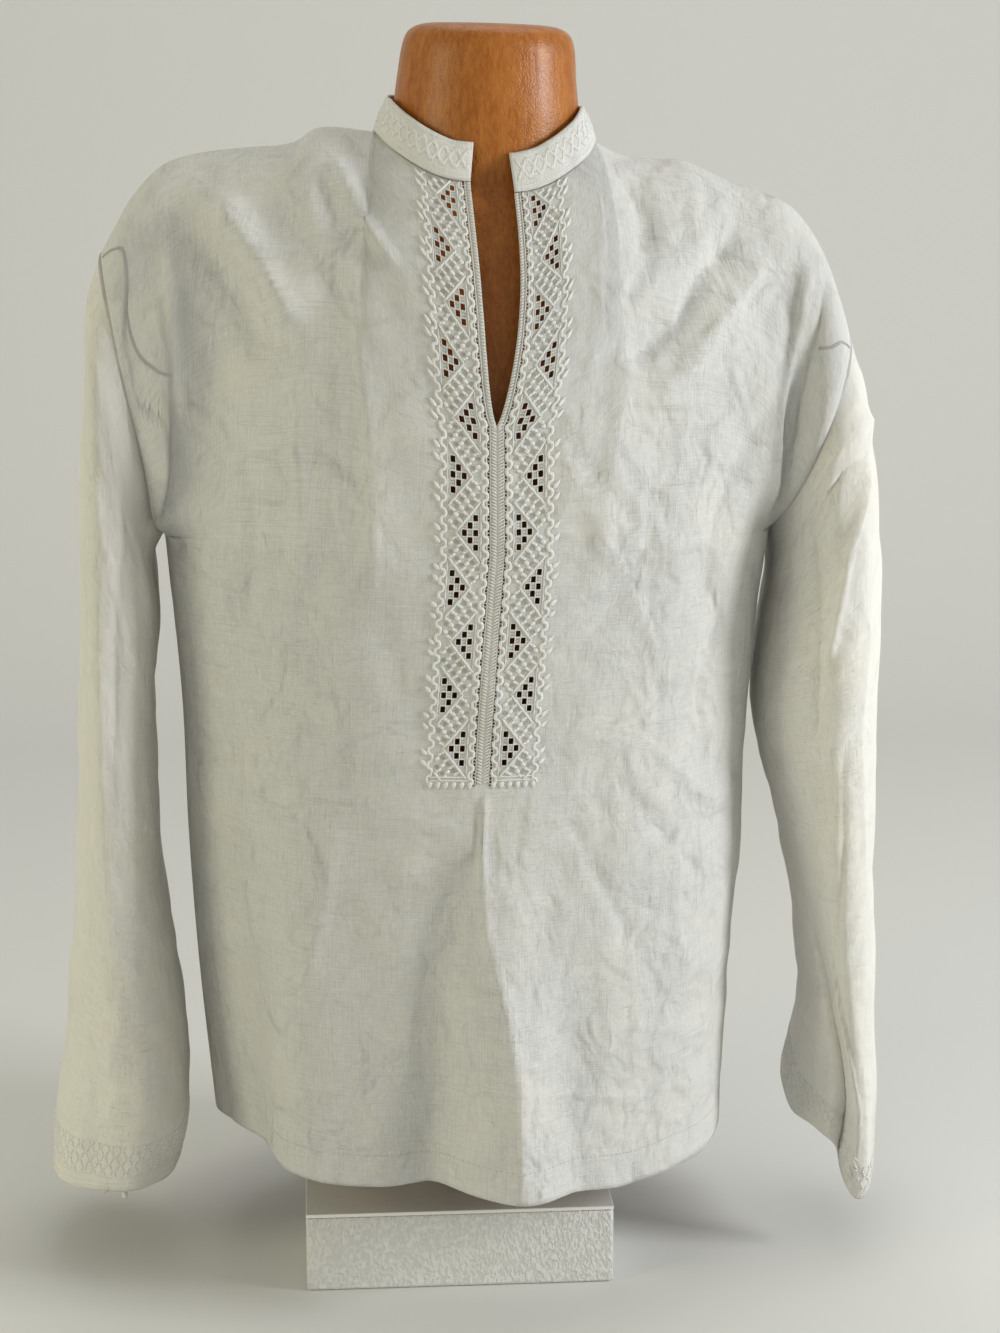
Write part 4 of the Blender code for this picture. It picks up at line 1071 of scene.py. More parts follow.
class Stitches:
    """Rounded strips of thread laid on a surface, gathered into one mesh."""

    def __init__(self):
        self.verts = []
        self.faces = []
        self.uvs = []
        self.count = 0

    def follow(self, place, paths, kind):
        """Strips of a kind of thread along paths of (strip, point, 2)."""
        paths = np.asarray(paths, float)
        strips, points = paths.shape[:2]
        tangent = unit(np.gradient(paths, axis=1) + TINY)
        normal = points_of(-tangent[..., 1], tangent[..., 0])
        ends = mix(kind.taper, 1.0, (1.0 - np.abs(np.linspace(-1.0, 1.0, points)) ** 4) ** 0.5)
        width = np.broadcast_to(kind.width, (strips, points)) * ends
        height = np.broadcast_to(kind.height, (strips, points)) * ends
        turn = np.arange(THREAD_SIDES) * 2.0 * math.pi / THREAD_SIDES
        reach = width[..., None] / 2 * np.cos(turn)
        lift = height[..., None] * np.maximum(np.sin(turn), -kind.sunk)
        flat = paths[:, :, None, :] + normal[:, :, None, :] * reach[..., None]
        verts = place(flat[..., 0].ravel(), flat[..., 1].ravel(), lift.ravel())
        steps = np.linalg.norm(np.diff(paths, axis=1), axis=2)
        along = np.concatenate((np.zeros((strips, 1)), np.cumsum(steps, axis=1)), axis=1)
        index = self.count + np.arange(lift.size).reshape(lift.shape)
        after = np.roll(index, -1, axis=2)
        quads = np.stack((index[:, :-1], after[:, :-1], after[:, 1:], index[:, 1:]), axis=-1)
        low, high = along[:, :-1, None], along[:, 1:, None]
        first = np.arange(THREAD_SIDES) / THREAD_SIDES * THREAD_MAP_WIDTH
        second = first + THREAD_MAP_WIDTH / THREAD_SIDES
        corners = (first, low), (second, low), (second, high), (first, high)
        self.faces += quads.reshape(-1, 4).tolist()
        self.uvs.append(np.stack([points_of(*corner) for corner in corners], axis=-2).reshape(-1, 2))
        for cap, edge in ((index[:, 0, ::-1], 0), (index[:, -1], -1)):
            self.faces += cap.tolist()
            self.uvs.append(np.repeat(points_of(0.0, along[:, edge]), THREAD_SIDES, axis=0))
        self.verts.append(verts)
        self.count += verts.shape[0]

    def lay(self, place, starts, ends, kind):
        """Straight strips of a kind of thread between pairs of places."""
        share = np.linspace(0.0, 1.0, kind.points)[None, :, None]
        starts = np.asarray(starts, float)[:, None, :]
        ends = np.asarray(ends, float)[:, None, :]
        self.follow(place, mix(starts, ends, share), kind)

    def piece(self, name, material):
        verts, uvs = np.concatenate(self.verts), np.concatenate(self.uvs)
        return cloth_piece(name, verts, self.faces, uvs, material)


def needlework(name, material, work, *how):
    """One mesh of the stitches that a function lays down."""
    stitches = Stitches()
    work(stitches, *how)
    return stitches.piece(name, material)


# Materials

def fill(tree, socket, value):
    """Give a socket a value, or the output of another node."""
    if isinstance(value, bpy.types.NodeSocket):
        tree.links.new(value, socket)
    else:
        socket.default_value = value


def node(tree, kind, inputs=None, **settings):
    """A shader node with its settings, and its inputs filled."""
    made = tree.nodes.new("ShaderNode" + kind)
    for key, value in settings.items():
        setattr(made, key, value)
    for key, value in (inputs or {}).items():
        fill(tree, made.inputs[key], value)
    return made


def maths(tree, operation, *values):
    made = node(tree, "Math", operation=operation)
    for socket, value in zip(made.inputs, values):
        fill(tree, socket, value)
    return made.outputs[0]


def waves(tree, length, pitch):
    """Sine waves along a length, one to a pitch."""
    return maths(tree, "SINE", maths(tree, "MULTIPLY", length, 2.0 * math.pi / pitch))


def ramp(tree, factor, low, high):
    """Smooth step of a factor between two values."""
    made = node(tree, "MapRange", {"Value": factor, "From Min": low, "From Max": high})
    made.interpolation_type = "SMOOTHSTEP"
    return made.outputs["Result"]


def tint(tree, factor, first, second):
    """A colour between two; the first may come from another node."""
    made = node(tree, "Mix", data_type="RGBA")
    first_socket, second_socket = [s for s in made.inputs if s.type == "RGBA"]
    fill(tree, made.inputs["Factor"], factor)
    fill(tree, first_socket, first if isinstance(first, bpy.types.NodeSocket) else (*first, 1.0))
    fill(tree, second_socket, (*second, 1.0))
    return next(s for s in made.outputs if s.type == "RGBA")


def noise(tree, coordinates, size, detail=3.0, roughness=0.55, distortion=0.0):
    """Noise with features of a size in metres; a size of three numbers stretches it."""
    sizes = size if isinstance(size, tuple) else (size, size, size)
    mapping = node(tree, "Mapping", {"Vector": coordinates, "Scale": tuple(1.0 / s for s in sizes)})
    made = node(tree, "TexNoise", {"Vector": mapping.outputs[0], "Scale": 1.0, "Detail": detail,
                                   "Roughness": roughness, "Distortion": distortion})
    return made.outputs["Fac"]


def new_material(name, colour, roughness, **settings):
    """A material with its nodes, shader, and coordinates on the object."""
    material = bpy.data.materials.new(name)
    material.use_nodes = True
    tree = material.node_tree
    shader = tree.nodes["Principled BSDF"]
    shader.inputs["Base Color"].default_value = (*colour, 1.0)
    shader.inputs["Roughness"].default_value = roughness
    for key, value in settings.items():
        shader.inputs[key.replace("_", " ")].default_value = value
    return material, tree, shader, node(tree, "TexCoord").outputs["Object"]


def finish_material(tree, shader, colour, *reliefs):
    """Colour the shader, and lay bumps over one another, each a height and how far it stands out."""
    tree.links.new(colour, shader.inputs["Base Color"])
    inputs = {"Strength": 1.0}
    for height, distance in reliefs:
        inputs.update(Height=height, Distance=distance)
        inputs["Normal"] = node(tree, "Bump", inputs).outputs[0]
    tree.links.new(inputs["Normal"], shader.inputs["Normal"])


def cloth_lengths(tree):
    """Both cloth sizes, and each alone."""
    cloth = node(tree, "UVMap", uv_map="cloth").outputs[0]
    split = node(tree, "SeparateXYZ", {"Vector": cloth})
    return cloth, split.outputs[0], split.outputs[1]


def linen_material(name, light, shade, relief=1.0, glow=0.10):
    """Plain-woven linen: threads both ways with slubs, soft crumpling and faint yellowing."""
    material, tree, shader, solid = new_material(
        name, light, roughness=0.85, Sheen_Weight=0.15, Sheen_Roughness=0.55,
        Subsurface_Weight=glow, Subsurface_Scale=0.0016, Subsurface_Radius=(1.0, 0.95, 0.72))
    cloth, across, along = cloth_lengths(tree)
    weave = maths(tree, "MULTIPLY", waves(tree, across, WARP_PITCH), waves(tree, along, WEFT_PITCH))
    upright = noise(tree, cloth, (SLUB_WIDTH, SLUB_LENGTH, 1.0), roughness=0.75)
    level = noise(tree, cloth, (SLUB_LENGTH, SLUB_WIDTH, 1.0), roughness=0.75)
    threads = maths(tree, "ADD", maths(tree, "MULTIPLY", upright, 0.5), maths(tree, "MULTIPLY", level, 0.5))
    slubs = maths(tree, "ADD", ramp(tree, upright, 0.50, 0.78), ramp(tree, level, 0.50, 0.78))
    cloud = noise(tree, solid, LINEN_CLOUD, detail=2.0)
    warm = tuple(c * w for c, w in zip(light, LINEN_WARMTH))
    colour = tint(tree, ramp(tree, threads, 0.40, 0.60), shade, light)
    colour = tint(tree, maths(tree, "MULTIPLY", ramp(tree, cloud, 0.45, 0.75), 0.50), colour, warm)
    broad = noise(tree, solid, BROAD_SIZE, detail=2.0, roughness=0.5, distortion=0.5)
    crumples = noise(tree, solid, CRUMPLE_SIZE, detail=2.0, roughness=0.5, distortion=0.5)
    finish_material(
        tree, shader, colour, (broad, BROAD_RELIEF * relief), (crumples, CRUMPLE_RELIEF * relief),
        (slubs, SLUB_RELIEF), (threads, THREAD_RELIEF), (weave, WEAVE_RELIEF))
    return material


def thread_material(name, light, shade):
    """Satin-stitched cotton thread: fine ribs across the strip with painted shade in their grooves, and a
    soft gloss.
    """
    material, tree, shader, solid = new_material(
        name, light, roughness=0.50, Sheen_Weight=0.25, Sheen_Roughness=0.40,
        Subsurface_Weight=0.10, Subsurface_Scale=0.001, Subsurface_Radius=(1.0, 0.97, 0.85))
    _, across, along = cloth_lengths(tree)
    slant = maths(tree, "ADD", along, maths(tree, "MULTIPLY", across, SATIN_SLANT))
    ribs = waves(tree, slant, SATIN_PITCH)
    fuzz = noise(tree, solid, SATIN_FUZZ, detail=2.0)
    # Painted shade: the ribs' grooves take the darker colour, their tops the lighter
    colour = tint(tree, ramp(tree, ribs, -1.0, 0.4), shade, light)
    finish_material(tree, shader, colour, (ribs, SATIN_RELIEF), (fuzz, SATIN_FUZZ_RELIEF))
    return material


def painted_shade_pit_material():
    """Painted shade: a dark linen colour standing in for the shade inside a small worked eyelet."""
    material, tree, shader, solid = new_material("eyelet_painted_shade", (0.40, 0.39, 0.36), roughness=0.9)
    colour = tint(tree, noise(tree, solid, PIT_GRAIN), *PIT_PAINTED_SHADE_TINTS)
    tree.links.new(colour, shader.inputs["Base Color"])
    return material


def leather_material():
    """Tan leather stretched over the form, with a fine pebble and faint upright streaks."""
    material, tree, shader, solid = new_material(
        "tan_leather_skin", (0.31, 0.096, 0.013), roughness=0.34, Coat_Weight=0.20,
        Coat_Roughness=0.28, Specular_IOR_Level=0.25)
    pebble = node(tree, "TexVoronoi", {"Vector": solid, "Scale": PEBBLE_SCALE}, feature="SMOOTH_F1")
    grain = noise(tree, solid, GRAIN_SIZE, roughness=0.6)
    streaks = noise(tree, solid, STREAK_SIZE)
    colour = tint(tree, ramp(tree, grain, 0.34, 0.68), *LEATHER_TINTS[:2])
    streak_share = maths(tree, "MULTIPLY", ramp(tree, streaks, 0.42, 0.74), 0.50)
    colour = tint(tree, streak_share, colour, LEATHER_TINTS[2])
    gloss = maths(tree, "ADD", maths(tree, "MULTIPLY", grain, 0.30), 0.20)
    tree.links.new(gloss, shader.inputs["Roughness"])
    finish_material(tree, shader, colour, (streaks, STREAK_RELIEF), (grain, GRAIN_RELIEF),
                    (pebble.outputs["Distance"], PEBBLE_RELIEF))
    return material


def steel_material(name, base, roughness, smudge, metal=1.0):
    """Polished steel with faint smudges and dust."""
    material, tree, shader, solid = new_material(name, base, roughness, Metallic=metal)
    smear = noise(tree, solid, SMEAR_SIZE)
    specks = ramp(tree, noise(tree, solid, DUST_SIZE, detail=1.0), 0.74, 0.80)
    shine = maths(tree, "ADD", roughness, maths(tree, "MULTIPLY", ramp(tree, smear, 0.40, 0.75), smudge))
    tree.links.new(shine, shader.inputs["Roughness"])
    dusty = tint(tree, specks, base, tuple(c * DUST_SHARE for c in base))
    finish_material(tree, shader, dusty, (smear, SMEAR_RELIEF))
    return material


def leatherette_material():
    """Pale pebbled leatherette wrapped round the base, its pebbles drawn out upright, with painted shade in
    their hollows, painted light on their crests, and faint yellow stains.
    """
    material, tree, shader, solid = new_material(
        "pale_leatherette", (0.78, 0.78, 0.76), roughness=0.48, Coat_Weight=0.12, Coat_Roughness=0.35)
    pebble = noise(tree, solid, COVER_PEBBLE_SIZE, detail=2.0, roughness=0.5, distortion=0.4)
    crest = ramp(tree, pebble, 0.32, 0.68)
    fine = noise(tree, solid, COVER_FINE_SIZE, detail=2.0)
    stain = maths(tree, "MULTIPLY", ramp(tree, noise(tree, solid, COVER_STAIN_SIZE), 0.5, 0.8), 0.4)
    # Painted light and shade: pebble crests lighter, hollows darker; then real yellow stains
    colour = tint(tree, stain, tint(tree, crest, *COVER_SHADE_LIGHT_AND_STAIN_TINTS[:2]), COVER_SHADE_LIGHT_AND_STAIN_TINTS[2])
    finish_material(tree, shader, colour, (crest, COVER_PEBBLE_RELIEF), (fine, COVER_FINE_RELIEF))
    return material


# Painted light and shade: the same linen in lit and shaded copies. The body's copy is darkest, the collar's
# lighter and the sleeves' lightest, standing in for the light on the collar and through the hollow sleeves
linen = linen_material("white_linen_cloth", (0.77, 0.77, 0.755), (0.61, 0.61, 0.585))
sleeve_linen_painted_light = linen_material("sleeve_linen_painted_light", (0.90, 0.885, 0.83), (0.82, 0.805, 0.745),
                              relief=0.7, glow=0.05)
collar_linen_painted_light = linen_material("collar_linen_painted_light", (0.87, 0.865, 0.84), (0.74, 0.735, 0.70), relief=0.4)
thread = thread_material("white_satin_thread", (0.90, 0.895, 0.875), (0.78, 0.775, 0.75))
plain_thread = thread_material("linen_thread", (0.83, 0.82, 0.78), (0.70, 0.695, 0.65))


# Front panel

def steps_with(marks, low, high, step):
    """Rising values from low to high that pass through every mark, at most about a step apart."""
    stops = sorted({round(v, 7) for v in (low, high, *(m for m in marks if low < m < high))})
    values = [stops[0]]
    for start, end in zip(stops, stops[1:]):
        count = max(1, math.ceil((end - start) / step - STEP_SLACK))
        values += [mix(start, end, i / count) for i in range(1, count + 1)]
    return np.array(values)


def motif_outward(motif):
    """Every other triangle of holes points outwards, and the rest inwards."""
    return 1.0 if motif % 2 == 0 else -1.0


def motif_holes():
    """Offset and length of each hole's middle in one band."""
    holes = []
    for motif, length in enumerate(MOTIF_LENGTHS):
        for row, line in enumerate(CUTWORK_CHART):
            for column, mark in enumerate(line):
                if mark == "#":
                    away = motif_outward(motif) * HOLE_PITCH_ACROSS * (column - CHART_MIDDLE)
                    holes.append((BAND_MIDDLE + away, length + HOLE_PITCH_DOWN * (CHART_MIDDLE - row)))
    return np.array(holes)


HALF_HOLE = np.array((HOLE_WIDTH, HOLE_HEIGHT)) / 2
HOLES = motif_holes()
hole_edges = sorted({round(o + e, 7) for o in HOLES[:, 0] for e in (-HALF_HOLE[0], HALF_HOLE[0])})
half_offsets = steps_with(hole_edges + [LADDER_INNER, LADDER_OUTER], 0.0, BAND_EDGE, BAND_STEP)
row_edges = [t + e for t in HOLES[:, 1] for e in (-HALF_HOLE[1], HALF_HOLE[1])]
front_rows = steps_with(row_edges + [SLIT_START], 0.0, FRONT_LENGTH, ROW_STEP)


def half_front(side):
    """Points, maps and kept faces of one half of the front, columns running out from the middle line."""
    ups = up_at(front_rows)
    rows = len(front_rows)
    offsets = np.broadcast_to(half_offsets, (rows, len(half_offsets)))
    band = across_at(side * offsets, np.broadcast_to(ups[:, None], offsets.shape))
    share = np.linspace(0.0, 1.0, FRONT_SIDE_COLUMNS + 1)[1:] ** FRONT_SIDE_POWER
    across = np.concatenate((band, mix(band[:, -1:], float(side), share)), axis=1)
    across[:, 0] = 0.0
    points = front_point(across, np.broadcast_to(ups[:, None], across.shape), side)
    maps = points_of(side * lengths_along(points[rows // 3]), front_rows[:, None])
    middle_t = (front_rows[1:] + front_rows[:-1]) / 2
    band_s = (half_offsets[1:] + half_offsets[:-1]) / 2
    middle_s = np.concatenate((band_s, np.full(FRONT_SIDE_COLUMNS, BEYOND_BAND)))
    keep = np.ones((rows - 1, across.shape[1] - 1), bool)
    for offset, length in HOLES:
        in_row = np.abs(middle_t - length) < HALF_HOLE[1]
        in_column = np.abs(middle_s - offset) < HALF_HOLE[0]
        keep &= ~(in_row[:, None] & in_column[None, :])
    ladder = (middle_s > LADDER_INNER) & (middle_s < LADDER_OUTER)
    keep &= ~((middle_t > BAND_LOW)[:, None] & ladder[None, :])
    return points, maps, keep


def build_front():
    halves = []
    for side in (-1, 1):
        points, maps, keep = half_front(side)
        halves.append(grid_arrays(points, maps, flip=side < 0, keep=keep))
    verts, faces, uvs = zip(*halves)
    faces = np.concatenate((faces[0], faces[1] + len(verts[0])))
    piece = cloth_piece("front_cloth", np.concatenate(verts), faces.tolist(), np.concatenate(uvs), linen,
                        "shirt_front", wall=CLOTH)
    work = bmesh.new()
    work.from_mesh(piece.data)
    bmesh.ops.remove_doubles(work, verts=[v for v in work.verts if v.is_boundary], dist=WELD)
    bmesh.ops.delete(work, geom=[v for v in work.verts if not v.link_faces], context="VERTS")
    work.to_mesh(piece.data)
    work.free()
    return piece


def build_back():
    across = np.linspace(-1.0, 1.0, BACK_COLUMNS + 1)
    ups = np.linspace(0.0, 2.0, BACK_ROWS + 1)
    points = panel_point(1, *np.meshgrid(across, ups))
    u = lengths_along(points[BACK_ROWS // 3])
    v = lengths_along(points[:, BACK_COLUMNS // 2])
    return grid_piece("back_cloth", points, points_of(u, v[:, None]), linen, CLOTH, "shirt_back", flip=True)


def build_sleeve(name, side, node_name):
    angles = np.arange(SLEEVE_COLUMNS) * 360.0 / SLEEVE_COLUMNS
    shares = np.linspace(0.0, 1.0, SLEEVE_ROWS + 1)
    points = np.stack([sleeve_point(side, angles, np.full(SLEEVE_COLUMNS, s)) for s in shares])
    maps = points_of(np.linspace(0.0, SLEEVE_GIRTH, SLEEVE_COLUMNS + 1), -shares[:, None] * SLEEVE_RUN)
    return grid_piece(name, points, maps, sleeve_linen_painted_light, CLOTH, node_name, wrap=True, flip=side < 0)


def build_collar():
    arcs, heights = np.meshgrid(np.linspace(0.0, COLLAR_LENGTH, COLLAR_COLUMNS + 1),
                                np.linspace(0.0, 1.0, COLLAR_ROWS + 1))
    points = collar_place(arcs, heights, np.zeros(arcs.shape))
    maps = points_of(arcs, heights * COLLAR_HEIGHT)
    return grid_piece("collar_band", points, maps, collar_linen_painted_light, COLLAR_CLOTH, "collar", flip=True)


front = build_front()
back = build_back()
sleeve_left = build_sleeve("sleeve_left_cloth", -1, "sleeve_left")
sleeve_right = build_sleeve("sleeve_right_cloth", 1, "sleeve_right")
collar = build_collar()


# Whitework bands

def strips():
    """Lower motif's length and slant of each slanting strip between two motifs; slant 1 rises outwards."""
    for motif in range(-1, MOTIF_COUNT):
        yield MOTIF_LENGTHS[0] + motif * MOTIF_PITCH, -motif_outward(motif)


def strip_length(low, slant, offset, away):
    """Length at an offset along a strip, some way above its middle line."""
    return low + MOTIF_PITCH / 2 + away + slant * STRIP_SLOPE * (offset - BAND_MIDDLE)


def strip_lines(away):
    """Ends of a line along every strip, kept between its motifs' middles and inside the band."""
    starts, ends = [], []
    for low, slant in strips():
        base = strip_length(low, slant, BAND_MIDDLE, away)
        heights = max(low, BAND_LOW + STRIP_FOOT), min(low + MOTIF_PITCH, BAND_HIGH)
        reach = sorted(BAND_MIDDLE + (t - base) / (slant * STRIP_SLOPE) for t in heights)
        first, last = np.clip(reach, BAND_MIDDLE - BAND_HALF, BAND_MIDDLE + BAND_HALF)
        if last - first > STRIP_SHORTEST:
            starts.append((first, strip_length(low, slant, first, away)))
            ends.append((last, strip_length(low, slant, last, away)))
    return starts, ends


def strip_places(offsets, away, margin):
    """Places along every strip at some offsets, with the way across the strip at each."""
    places, across = [], []
    for low, slant in strips():
        bottom = max(low, BAND_LOW + DOT_FOOT) + margin
        top = min(low + MOTIF_PITCH, BAND_HIGH) - margin
        for offset in offsets:
            length = strip_length(low, slant, offset, away)
            if bottom < length < top:
                places.append((offset, length))
                across.append((-slant * STRIP_SLOPE, 1.0))
    return np.array(places), unit(np.array(across))


def work_strips(stitches, pits, side):
    """Cords, eyelets, cross bars and padded dots of the slanting strips."""
    place = band_place(side)
    columns = BAND_MIDDLE + (np.arange(EYELET_COLUMNS) - (EYELET_COLUMNS - 1) / 2) * EYELET_PITCH
    between = columns[:-1] + EYELET_PITCH / 2

    def lay_across(offsets, away, margin, reach, kind):
        places, across = strip_places(offsets, away, margin)
        stitches.lay(place, places - across * reach, places + across * reach, kind)

    lay_across(columns, 0.0, BAR_MARGIN, BAR_REACH, STRIP_BAR)
    for away in (-1.0, 1.0):
        stitches.lay(place, *strip_lines(away * STRIP_CORD_AWAY), STRIP_CORD)
        lay_across(between, away * EYELET_AWAY, DOT_MARGIN, DOT_REACH, STRIP_DOT)
        lay_across(columns, away * EYELET_OUTER, DOT_MARGIN, OUTER_DOT_REACH, STRIP_DOT)
        for s, t in strip_places(columns, away * EYELET_AWAY, DOT_MARGIN)[0]:
            pits.append((side, s, t, EYELET_HALF, EYELET_HALF))


def meander(offset, low, high, phase):
    """A winding path up the band."""
    t = np.linspace(low, high, int((high - low) / MEANDER_STEP))
    turn = 2.0 * math.pi * t / MEANDER_PERIOD + phase
    along = t - MEANDER_PERIOD * MEANDER_ROUND * np.sin(2.0 * turn)
    return points_of(offset + MEANDER_SWING * np.sin(turn), along)[None]


def work_motifs(stitches, pits, side):
    """The upright line behind each triangle, its pin-holes, and a frame round each cut square."""
    place = band_place(side)
    for motif, middle in enumerate(MOTIF_LENGTHS):
        outward = motif_outward(motif)
        base = BAND_MIDDLE - outward * (BAND_HALF - FIELD_INSET)
        stitches.lay(place, [(base, middle - FIELD_REACH)],
                     [(base, min(middle + FIELD_REACH, BAND_HIGH))], FIELD_LINE)
        for column, row in PIN_HOLES:
            s = BAND_MIDDLE + outward * HOLE_PITCH_ACROSS * (column - CHART_MIDDLE)
            t = middle + HOLE_PITCH_DOWN * row
            for ds in (-PIN_SPREAD[0], PIN_SPREAD[0]):
                for dt in (-PIN_SPREAD[1], PIN_SPREAD[1]):
                    pits.append((side, s + ds, t + dt, *PIN_HALF))
    corner = np.linspace(0.0, 2.0 * math.pi, FRAME_STEPS + 1)
    ring = points_of(*(np.sign(wave) * np.abs(wave) ** FRAME_SQUARENESS * (half + FRAME_AWAY)
                       for wave, half in zip((np.cos(corner), np.sin(corner)), HALF_HOLE)))
    whole = HOLES[HOLES[:, 1] + HALF_HOLE[1] < BAND_HIGH]
    stitches.follow(place, whole[:, None, :] + ring, HOLE_FRAME)


def work_edges(stitches, side):
    """Leaf-shaped teeth outside the band and below its foot, and the cords across the foot."""
    place = band_place(side)
    tooth = BAND_MIDDLE + TOOTH_INSET
    for group in np.arange(BAND_LOW + TOOTH_GROUP_FROM, BAND_HIGH - TOOTH_GROUP_END, TOOTH_GROUP_PITCH):
        feet = points_of(tooth, (group, group + TOOTH_GAP))
        stitches.lay(place, feet, feet + TOOTH_RUN, TOOTH)
    foot = np.arange(BAND_MIDDLE - MEANDER_INSET, BAND_MIDDLE + TOOTH_INSET, FOOT_TOOTH_PITCH)
    feet = points_of(foot, BAND_LOW + FOOT_TOOTH_FROM)
    stitches.lay(place, feet, feet + FOOT_TOOTH_RUN, TOOTH)
    for row in FOOT_CORD_ROWS:
        start, end = points_of((BAND_MIDDLE - MEANDER_INSET, BAND_MIDDLE + MEANDER_INSET), BAND_LOW + row)
        stitches.lay(place, [start], [end], FOOT_CORD)


def work_bands(stitches, pits):
    for side in (-1, 1):
        for sign, phase in MEANDER_PHASES.items():
            path = meander(BAND_MIDDLE + sign * MEANDER_INSET, BAND_LOW, BAND_HIGH, phase + side)
            stitches.follow(band_place(side), path, MEANDER_CORD)
        work_strips(stitches, pits, side)
        work_motifs(stitches, pits, side)
        work_edges(stitches, side)


def build_painted_shade_pits(pits):
    """Small cups in the lattice's eyelets and the pin-holes, coloured with painted shade."""
    verts, faces = [], []
    count = 0
    turn = np.linspace(0.0, 2.0 * math.pi, PIT_SIDES + 1)[:-1]
    for side in (-1, 1):
        s, t, wide, tall = np.array([pit[1:] for pit in pits if pit[0] == side]).T[..., None]
        rings = []
        for scale, lift in PIT_RINGS:
            place_s = s + wide * np.cos(turn) * scale
            place_t = t + tall * np.sin(turn) * scale
            ring = band_place(side)(place_s.ravel(), place_t.ravel(), np.full(place_s.size, lift))
            rings.append(ring.reshape(len(s), PIT_SIDES, 3))
        points = np.concatenate((rings[0], rings[1][:, :1]), axis=1).reshape(-1, 3)
        for start in range(count, count + len(points), PIT_SIDES + 1):
            for k in range(PIT_SIDES):
                corner = (start + k, start + (k + 1) % PIT_SIDES, start + PIT_SIDES)
                faces.append(corner if side > 0 else corner[::-1])
        verts.append(points)
        count += len(points)
    uvs = np.zeros((3 * len(faces), 2))
    return cloth_piece("eyelet_painted_shade_cups", np.concatenate(verts), faces, uvs, painted_shade_pit_material())


def work_middle(stitches):
    """Ladder bars both sides of the middle, the rolled slit edges and the herringbone strip below."""
    for side in (-1, 1):
        place = band_place(side)
        t = np.arange(BAND_LOW, BAND_HIGH, LADDER_STEP)
        starts = points_of(LADDER_INNER - LADDER_GRIP, t)
        stitches.lay(place, starts, points_of(LADDER_OUTER + LADDER_GRIP, t), LADDER_BAR)
        t = np.arange(SLIT_START - SLIT_ROLL_BELOW, BAND_HIGH, SLIT_ROLL_STEP)
        starts = points_of(SLIT_ROLL_FROM, t)
        stitches.lay(place, starts, starts + SLIT_ROLL_RUN, SLIT_ROLL)
        for s in (LADDER_INNER - LADDER_EDGE_AWAY, LADDER_OUTER + LADDER_EDGE_AWAY):
            stitches.lay(place, [(s, BAND_LOW)], [(s, FRONT_LENGTH)], LADDER_EDGE)
        t = np.arange(BAND_LOW, SLIT_START - HERRINGBONE_END, SLIT_ROLL_STEP)
        starts = points_of(HERRINGBONE_FROM, t)
        stitches.lay(place, starts, points_of(HERRINGBONE_TO, t + SLIT_ROLL_STEP), HERRINGBONE)


pits = []
bands = needlework("whitework_bands", thread, work_bands, pits)
middle = needlework("slit_needlework", plain_thread, work_middle)
# Painted shade: dark cups laid in the eyelets and pin-holes, standing in for the shade inside them
cups = build_painted_shade_pits(pits)


# Collar needlework

def collar_face(depth):
    """Place function of the collar in metres, its lifts counted from some depth of the wall."""
    def place(arc, height, lift):
        return collar_place(arc, height / COLLAR_HEIGHT, lift + depth)
    return place


def work_collar(stitches):
    """A net of diagonals and uprights between rows of dashes, and picots round the free edges."""
    face = collar_face(COLLAR_CLOTH)
    rim = collar_face(COLLAR_CLOTH / 2)
    count = int(COLLAR_LENGTH / NET_PITCH)
    step = (COLLAR_LENGTH - 2.0 * NET_INSET) / count
    arcs = NET_INSET + np.arange(count) * step
    for low, high in NET_DIAGONALS:
        stitches.lay(face, points_of(arcs, low), points_of(arcs + step, high), NET_DIAGONAL)
    for shift, low, high in NET_UPRIGHTS:
        middles = arcs + step * shift
        stitches.lay(face, points_of(middles, low), points_of(middles, high), NET_UPRIGHT)
    for height in COLLAR_DASH_ROWS:
        dashes = np.arange(COLLAR_DASH_FROM, COLLAR_LENGTH - NET_INSET, COLLAR_DASH_PITCH)
        starts = points_of(dashes, height)
        stitches.lay(face, starts, starts + COLLAR_DASH_RUN, COLLAR_DASH)
    picots = np.arange(PICOT_INSET, COLLAR_LENGTH - PICOT_INSET, PICOT_PITCH)
    starts = points_of(picots, COLLAR_HEIGHT - PICOT_SINK)
    stitches.lay(rim, starts, starts + (0.0, PICOT_RUN), PICOT)
    heights = np.arange(END_PICOT_FROM, COLLAR_HEIGHT, END_PICOT_PITCH)
    for arc, outward in ((0.0, -1.0), (COLLAR_LENGTH, 1.0)):
        starts = points_of(arc, heights)
        stitches.lay(rim, starts, starts + (outward * END_PICOT_RUN, 0.0), PICOT)


# Cuffs, hems and seams

def work_cuff(stitches, side):
    """Rows of four-rayed stars above the cuff's turned edge, between rows of running stitches."""
    place = sleeve_place(side)
    columns = int(SLEEVE_GIRTH / CUFF_STAR_PITCH)
    pitch = SLEEVE_GIRTH / columns
    starts, ends = [], []
    for column in range(columns):
        for row in range(CUFF_STAR_ROWS):
            s = (column + row % 2 / 2) * pitch - SLEEVE_GIRTH / 2
            middle = np.array((s, CUFF_STAR_LOW + row * CUFF_STAR_RISE))
            for ray in CUFF_RAYS:
                starts.append(middle + CUFF_RAY_FROM * ray)
                ends.append(middle + CUFF_RAY_TO * ray)
    stitches.lay(place, starts, ends, STAR_RAY)
    dashes = np.arange(-SLEEVE_GIRTH / 2, SLEEVE_GIRTH / 2, CUFF_DASH_PITCH)
    for height in CUFF_DASH_ROWS:
        starts = points_of(dashes, height)
        stitches.lay(place, starts, starts + CUFF_DASH_RUN, CUFF_DASH)


